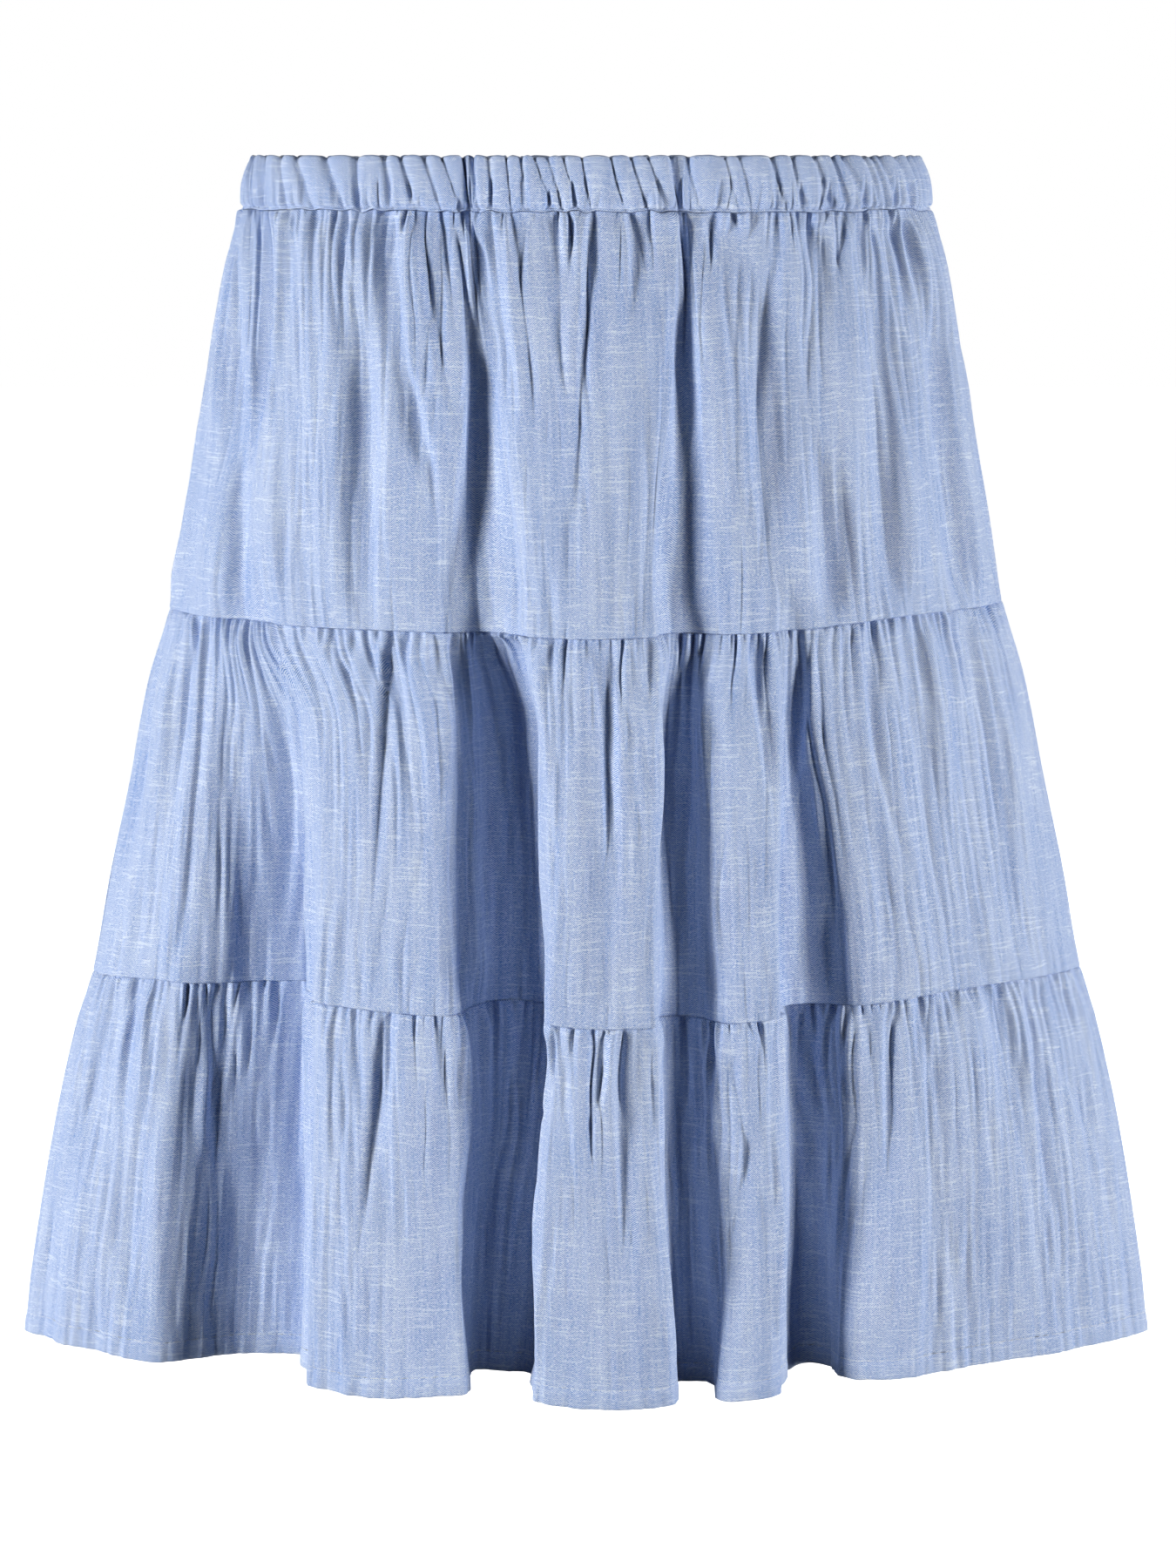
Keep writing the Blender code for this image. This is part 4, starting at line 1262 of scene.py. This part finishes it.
class WeaveGroup:
    """The node group of a slubby zigzag twill: a blue warp crossed by a paler, uneven weft."""

    NAME = "slub twill"
    STREAK = Speckle(520.0, 16.0, 3.0, 0.6)
    BAND = Speckle(120.0, 4.0)
    BLOTCH = Speckle(38.0, 20.0, 3.0, 0.6)
    GRAIN = Speckle(900.0, 1100.0, 2.0, 0.6)
    # How the weft threads sway up and down, and by how much, in metres
    SWAY = Speckle(70.0, 12.0, 1.0)
    SWAY_HEIGHT = 0.0022
    THIN_SLUB = Fleck(Speckle(36.0, 820.0, 1.0), 0.645, 0.71)
    THICK_SLUB = Fleck(Speckle(60.0, 560.0, 1.0), 0.70, 0.74)
    FLECK = Fleck(Speckle(480.0, 1300.0, 1.0), 0.60, 0.70)
    # The share of the weft where nothing adds to it, the share of the bands in the streaks, how high
    # the twill, streaks, grain and pale threads stand, and how rough the cloth and its pale threads are
    EVEN_SHARE = 0.375
    BAND_SHARE = 0.7
    HEIGHTS = (0.3, 1.1, 0.8, 0.4)
    ROUGHNESS = 0.92
    PALE_SHEEN = 0.08
    COLOURS = ("Warp", "Weft")
    OUTPUTS = {"Color": "NodeSocketColor", "Height": "NodeSocketFloat", "Roughness": "NodeSocketFloat"}
    FLOATS = (
        ("Twill Pitch", 0.0011),
        ("Zigzag", 0.0030),
        ("Twill Amount", 1.80),
        ("Streak Amount", 0.90),
        ("Grain Amount", 2.60),
        ("Blotch Amount", 0.65),
        ("Slub Amount", 0.74),
    )

    @classmethod
    def get(cls) -> bpy.types.NodeTree:
        """The group, built the first time that it is asked for."""
        return bpy.data.node_groups.get(cls.NAME) or cls.build()

    @classmethod
    def build(cls) -> bpy.types.NodeTree:
        """Build the group from the map of the flat cloth."""
        tree = bpy.data.node_groups.new(cls.NAME, "ShaderNodeTree")
        tree.interface.new_socket("Cloth", in_out="INPUT", socket_type="NodeSocketVector")
        for name in cls.COLOURS:
            tree.interface.new_socket(name, in_out="INPUT", socket_type="NodeSocketColor")
        for name, value in cls.FLOATS:
            socket = tree.interface.new_socket(name, in_out="INPUT", socket_type="NodeSocketFloat")
            socket.default_value = value
        for name, kind in cls.OUTPUTS.items():
            tree.interface.new_socket(name, in_out="OUTPUT", socket_type=kind)
        wire = Wiring(tree)
        given = wire.node("NodeGroupInput").outputs
        cloth = given["Cloth"]
        split = wire.node("ShaderNodeSeparateXYZ", {0: cloth})

        zigzag = wire.math("PINGPONG", split.outputs["X"], given["Zigzag"])
        climb = wire.math("DIVIDE", wire.math("ADD", split.outputs["Y"], zigzag), given["Twill Pitch"])
        twill = wire.math("SINE", wire.math("MULTIPLY", climb, 2 * math.pi))
        streak, band = wire.noise(cloth, cls.STREAK), wire.noise(cloth, cls.BAND)
        blotch, grain = wire.noise(cloth, cls.BLOTCH), wire.noise(cloth, cls.GRAIN)
        sway = wire.math("MULTIPLY", wire.noise(cloth, cls.SWAY), cls.SWAY_HEIGHT)
        level = wire.math("ADD", split.outputs["Y"], sway)
        swayed = wire.node("ShaderNodeCombineXYZ", {0: split.outputs["X"], 1: level}).outputs[0]
        thin, thick, fleck = (
            wire.between(wire.noise(swayed, kind.speckle), kind.low, kind.high)
            for kind in (cls.THIN_SLUB, cls.THICK_SLUB, cls.FLECK)
        )
        pale = wire.math("MAXIMUM", wire.math("MAXIMUM", thin, thick), fleck)

        factor = wire.math("MULTIPLY", twill, wire.math("MULTIPLY", given["Twill Amount"], 0.5))
        for value, share, amount in (
            (streak, 1.0, given["Streak Amount"]),
            (band, cls.BAND_SHARE, given["Streak Amount"]),
            (blotch, 1.0, given["Blotch Amount"]),
            (grain, 1.0, given["Grain Amount"]),
        ):
            swing = wire.math("MULTIPLY", wire.math("SUBTRACT", value, 0.5), share)
            factor = wire.math("ADD", factor, wire.math("MULTIPLY", swing, amount))
        factor = wire.math("ADD", factor, cls.EVEN_SHARE)
        factor = wire.math("ADD", factor, wire.math("MULTIPLY", pale, given["Slub Amount"]))
        factor = wire.node("ShaderNodeClamp", {0: factor}).outputs[0]
        height = 0.0
        for part, share in zip((twill, streak, grain, pale), cls.HEIGHTS):
            height = wire.math("ADD", height, wire.math("MULTIPLY", part, share))
        roughness = wire.math("SUBTRACT", cls.ROUGHNESS, wire.math("MULTIPLY", pale, cls.PALE_SHEEN))

        colour = wire.mixed(factor, given["Warp"], given["Weft"])
        wire.node("NodeGroupOutput", {"Color": colour, "Height": height, "Roughness": roughness})
        return tree


@dataclass(frozen=True)
class ChambrayFinish:
    """Matt crinkled chambray, for one piece."""

    name: str
    warp: tuple[float, float, float, float] = (0.165, 0.285, 0.600, 1.0)
    weft: tuple[float, float, float, float] = (0.700, 0.770, 0.900, 1.0)
    bump: float = 0.9
    bump_distance: float = 0.00022

    def material(self) -> bpy.types.Material:
        """Make the material."""
        material = new_material(self.name)
        wire = Wiring(material.node_tree)
        cloth = wire.node("ShaderNodeUVMap", uv_map=CLOTH_MAP).outputs[0]
        inputs = {"Cloth": cloth, "Warp": self.warp, "Weft": self.weft}
        weave = wire.node("ShaderNodeGroup", inputs, node_tree=WeaveGroup.get())
        bump = {"Strength": self.bump, "Distance": self.bump_distance, "Height": weave.outputs["Height"]}
        set_shader(material, {
            "Base Color": weave.outputs["Color"],
            "Roughness": weave.outputs["Roughness"],
            "Normal": wire.node("ShaderNodeBump", bump).outputs[0],
            "Specular IOR Level": 0.2,
            "Sheen Weight": 0.12,
            "Sheen Roughness": 0.5,
            "Sheen Tint": (0.75, 0.83, 1.0, 1.0),
        })
        return material


@dataclass(frozen=True)
class ThreadFinish:
    """Twisted cotton sewing thread."""

    name: str
    colour: tuple[float, float, float]
    shade: tuple[float, float, float]

    # The waves of the fibres to a metre, and the bounds between which they turn pale
    TWIST = 1800.0
    PALE_BOUNDS = (0.35, 0.65)
    BUMP_DISTANCE = 0.00008

    def material(self) -> bpy.types.Material:
        """Make the material."""
        material = new_material(self.name)
        wire = Wiring(material.node_tree)
        place = wire.node("ShaderNodeTexCoord").outputs["Object"]
        inputs = {"Vector": place, "Scale": self.TWIST, "Detail": 2.0}
        fibre = wire.node("ShaderNodeTexNoise", inputs).outputs[0]
        colour = wire.mixed(wire.between(fibre, *self.PALE_BOUNDS), (*self.shade, 1.0), (*self.colour, 1.0))
        bump = {"Strength": 0.4, "Distance": self.BUMP_DISTANCE, "Height": fibre}
        set_shader(material, {
            "Base Color": colour,
            "Normal": wire.node("ShaderNodeBump", bump).outputs[0],
            "Roughness": 0.7,
            "Specular IOR Level": 0.3,
        })
        return material


class Skirt:
    """The whole skirt: its casing, six panels and the stitches that show."""

    TIERS = (
        Tier(
            1, TOP_REFERENCE, SIDE_SEAM_TURN,
            levels=(CASING_DROP, SEAM_1_DROP), cut=(580.0, 232.0), crinkle=Crinkle(6.0, 1.25, 0.40),
        ),
        Tier(
            2, MIDDLE_REFERENCE, 0.0,
            levels=(SEAM_1_DROP, SEAM_2_DROP), cut=(780.0, 221.0), crinkle=Crinkle(3.6, 1.20, 0.60),
        ),
        Tier(
            3, BOTTOM_REFERENCE, 0.0,
            levels=(SEAM_2_DROP, HEM_DROP), cut=(900.0, 243.0), crinkle=Crinkle(3.4, 1.20, 0.65),
            hem=HemShape(),
        ),
    )
    # Columns of points of each panel, and how far apart its rows are
    MESHES = {
        Side.FRONT: {1: (700, 4.2), 2: (860, 4.7), 3: (830, 5.3)},
        Side.BACK: {1: (480, 5.9), 2: (600, 5.9), 3: (600, 6.4)},
    }
    HEM_STITCH = StitchShape(length=1.9, pitch=2.8, thread=0.62)
    HEM_THREAD = ThreadFinish("thread_hem", (0.83, 0.86, 0.90), (0.62, 0.68, 0.78))
    CASING_STITCH = StitchShape(length=2.0, pitch=3.0, thread=0.5)
    CASING_THREAD = ThreadFinish("thread_casing", (0.50, 0.60, 0.78), (0.36, 0.47, 0.68))
    # Points along one panel's and the whole casing's row of stitches
    HEM_POINTS = 3000
    CASING_POINTS = 5000

    def __init__(self) -> None:
        self.casing = Casing()
        self.panels = []
        for tier in self.TIERS:
            columns = Columns(tier.reference, tier.seam_turn)
            self.panels += [Panel(tier, side, columns, *self.MESHES[side][tier.number]) for side in Side]

    def build(self) -> None:
        """Build and dress every piece."""
        self.build_casing()
        for panel in self.panels:
            self.build_panel(panel)
        self.build_hem_stitches()
        self.build_casing_stitches()

    def build_casing(self) -> None:
        """Build the casing, give it its material and hide the solid that it stands for."""
        thing = self.casing.build()
        self.dress(thing, ChambrayFinish("chambray_waistband").material(), "chambray")
        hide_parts("waistband")

    def build_panel(self, panel: Panel) -> None:
        """Build one panel, with its cloth map laid out from its cut, give it its material and hide the solid
        that it stands for.
        """
        thing = panel.build()
        self.dress(thing, ChambrayFinish(f"chambray_{panel.name}").material(), "chambray")
        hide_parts(panel.name)

    def build_hem_stitches(self) -> None:
        """Sew the row of pale stitches that holds the turned hem."""
        row = StitchRow("hem_stitches", self.HEM_STITCH)
        for panel in self.panels:
            if panel.hem:
                shares = panel.columns.shares(panel.side, self.HEM_POINTS)
                level = SheetRow(panel.bottom - panel.hem.stitch, 0.0)
                points, outward, _ = panel.points_at(shares, level)
                row.sew(points, outward)
        self.dress(row.finish(), self.HEM_THREAD.material(), "thread")

    def build_casing_stitches(self) -> None:
        """Sew the row of stitches that closes the casing."""
        row = StitchRow("casing_stitches", self.CASING_STITCH)
        shares = np.linspace(0, 1, self.CASING_POINTS)
        points, outward, _ = self.casing.points_at(shares, self.casing.STITCH_ROW)
        row.sew(points, outward)
        self.dress(row.finish(), self.CASING_THREAD.material(), "thread")

    @staticmethod
    def dress(thing: bpy.types.Object, material: bpy.types.Material, slot: str) -> None:
        """Give a piece its material, and let it ride on the skirt's one body."""
        thing.data.materials.append(material)
        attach(thing, BODY)
        log.info("%s: %d faces", thing.name, len(thing.data.polygons))


@dataclass(frozen=True)
class SoftBox:
    """A soft white studio light: where it hangs, its size in metres and its power in watts."""

    name: str
    place: tuple[float, float, float]
    width: float
    height: float
    power: float


class Studio:
    """Camera, lights, pale floor and white surroundings."""

    CAMERA_PLACE = (0.001, -2.0, 0.0)
    CAMERA_PITCH = 9.56
    LENS = 85.5
    AIM = Vector((0.0, 0.0, -0.33))
    FLOOR_LEVEL = -0.85
    FLOOR_SIZE = 24.0
    AMBIENT = 0.01
    LIGHTS = (
        SoftBox("key_light", (-2.60, -1.50, -0.15), 0.7, 1.2, 109.0),
        SoftBox("fill_light", (2.67, -1.37, -0.30), 0.7, 1.2, 95.0),
        SoftBox("back_light", (0.6, 2.2, 0.9), 1.6, 1.2, 34.0),
    )

    def build(self) -> None:
        """Set up the studio."""
        self.add_camera()
        for light in self.LIGHTS:
            self.add_light(light)
        self.add_floor()
        self.add_surroundings()
        bpy.context.scene.view_settings.view_transform = "Standard"

    def add_camera(self) -> None:
        """Stand the camera at the height of the waist, looking down a little."""
        data = bpy.data.cameras.new("camera")
        data.lens = self.LENS
        data.sensor_fit = "AUTO"
        data.sensor_width = 36.0
        camera = add_object("camera", data)
        camera.location = self.CAMERA_PLACE
        camera.rotation_euler = (math.radians(90 - self.CAMERA_PITCH), 0.0, 0.0)
        bpy.context.scene.camera = camera

    def add_light(self, light: SoftBox) -> None:
        """Hang one soft light, aimed at the skirt."""
        data = bpy.data.lights.new(light.name, "AREA")
        data.shape = "RECTANGLE"
        data.size, data.size_y = light.width, light.height
        data.energy = light.power
        thing = add_object(light.name, data)
        thing.location = light.place
        thing.rotation_euler = (self.AIM - Vector(light.place)).to_track_quat("-Z", "Y").to_euler()
        thing.visible_camera = False

    def add_floor(self) -> None:
        """Lay a pale floor well below the hem."""
        bm = bmesh.new()
        place = Matrix.Translation((0.0, 0.0, self.FLOOR_LEVEL))
        bmesh.ops.create_grid(bm, x_segments=1, y_segments=1, size=self.FLOOR_SIZE / 2, matrix=place)
        floor = add_object("floor", as_mesh(bm, "floor"))
        material = new_material("pale_floor")
        set_shader(material, {
            "Base Color": (0.85, 0.85, 0.85, 1.0),
            "Roughness": 0.9,
            "Specular IOR Level": 0.0,
            "Emission Color": WHITE,
            "Emission Strength": 1.0,
        })
        floor.data.materials.append(material)
        floor.visible_diffuse = False
        floor.visible_glossy = False

    def add_surroundings(self) -> None:
        """Make the room white to the camera, and a weak even light to the skirt."""
        world = bpy.data.worlds.new("studio")
        bpy.context.scene.world = world
        world.use_nodes = True
        tree = world.node_tree
        tree.nodes.clear()
        wire = Wiring(tree)
        seen = wire.node("ShaderNodeLightPath").outputs["Is Camera Ray"]
        even = wire.node("ShaderNodeBackground", {"Color": WHITE, "Strength": self.AMBIENT})
        white = wire.node("ShaderNodeBackground", {"Color": WHITE, "Strength": 1.0})
        mix = wire.node("ShaderNodeMixShader", {0: seen, 1: even.outputs[0], 2: white.outputs[0]})
        wire.node("ShaderNodeOutputWorld", {0: mix.outputs[0]})


def main() -> None:
    """Dress the skirt and set up its studio."""
    logging.basicConfig(level=logging.INFO, format="%(name)s: %(message)s")
    for thing in list(bpy.data.objects):
        bpy.data.objects.remove(thing, do_unlink=True)
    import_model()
    Studio().build()
    Skirt().build()


if __name__ == "__main__":
    main()
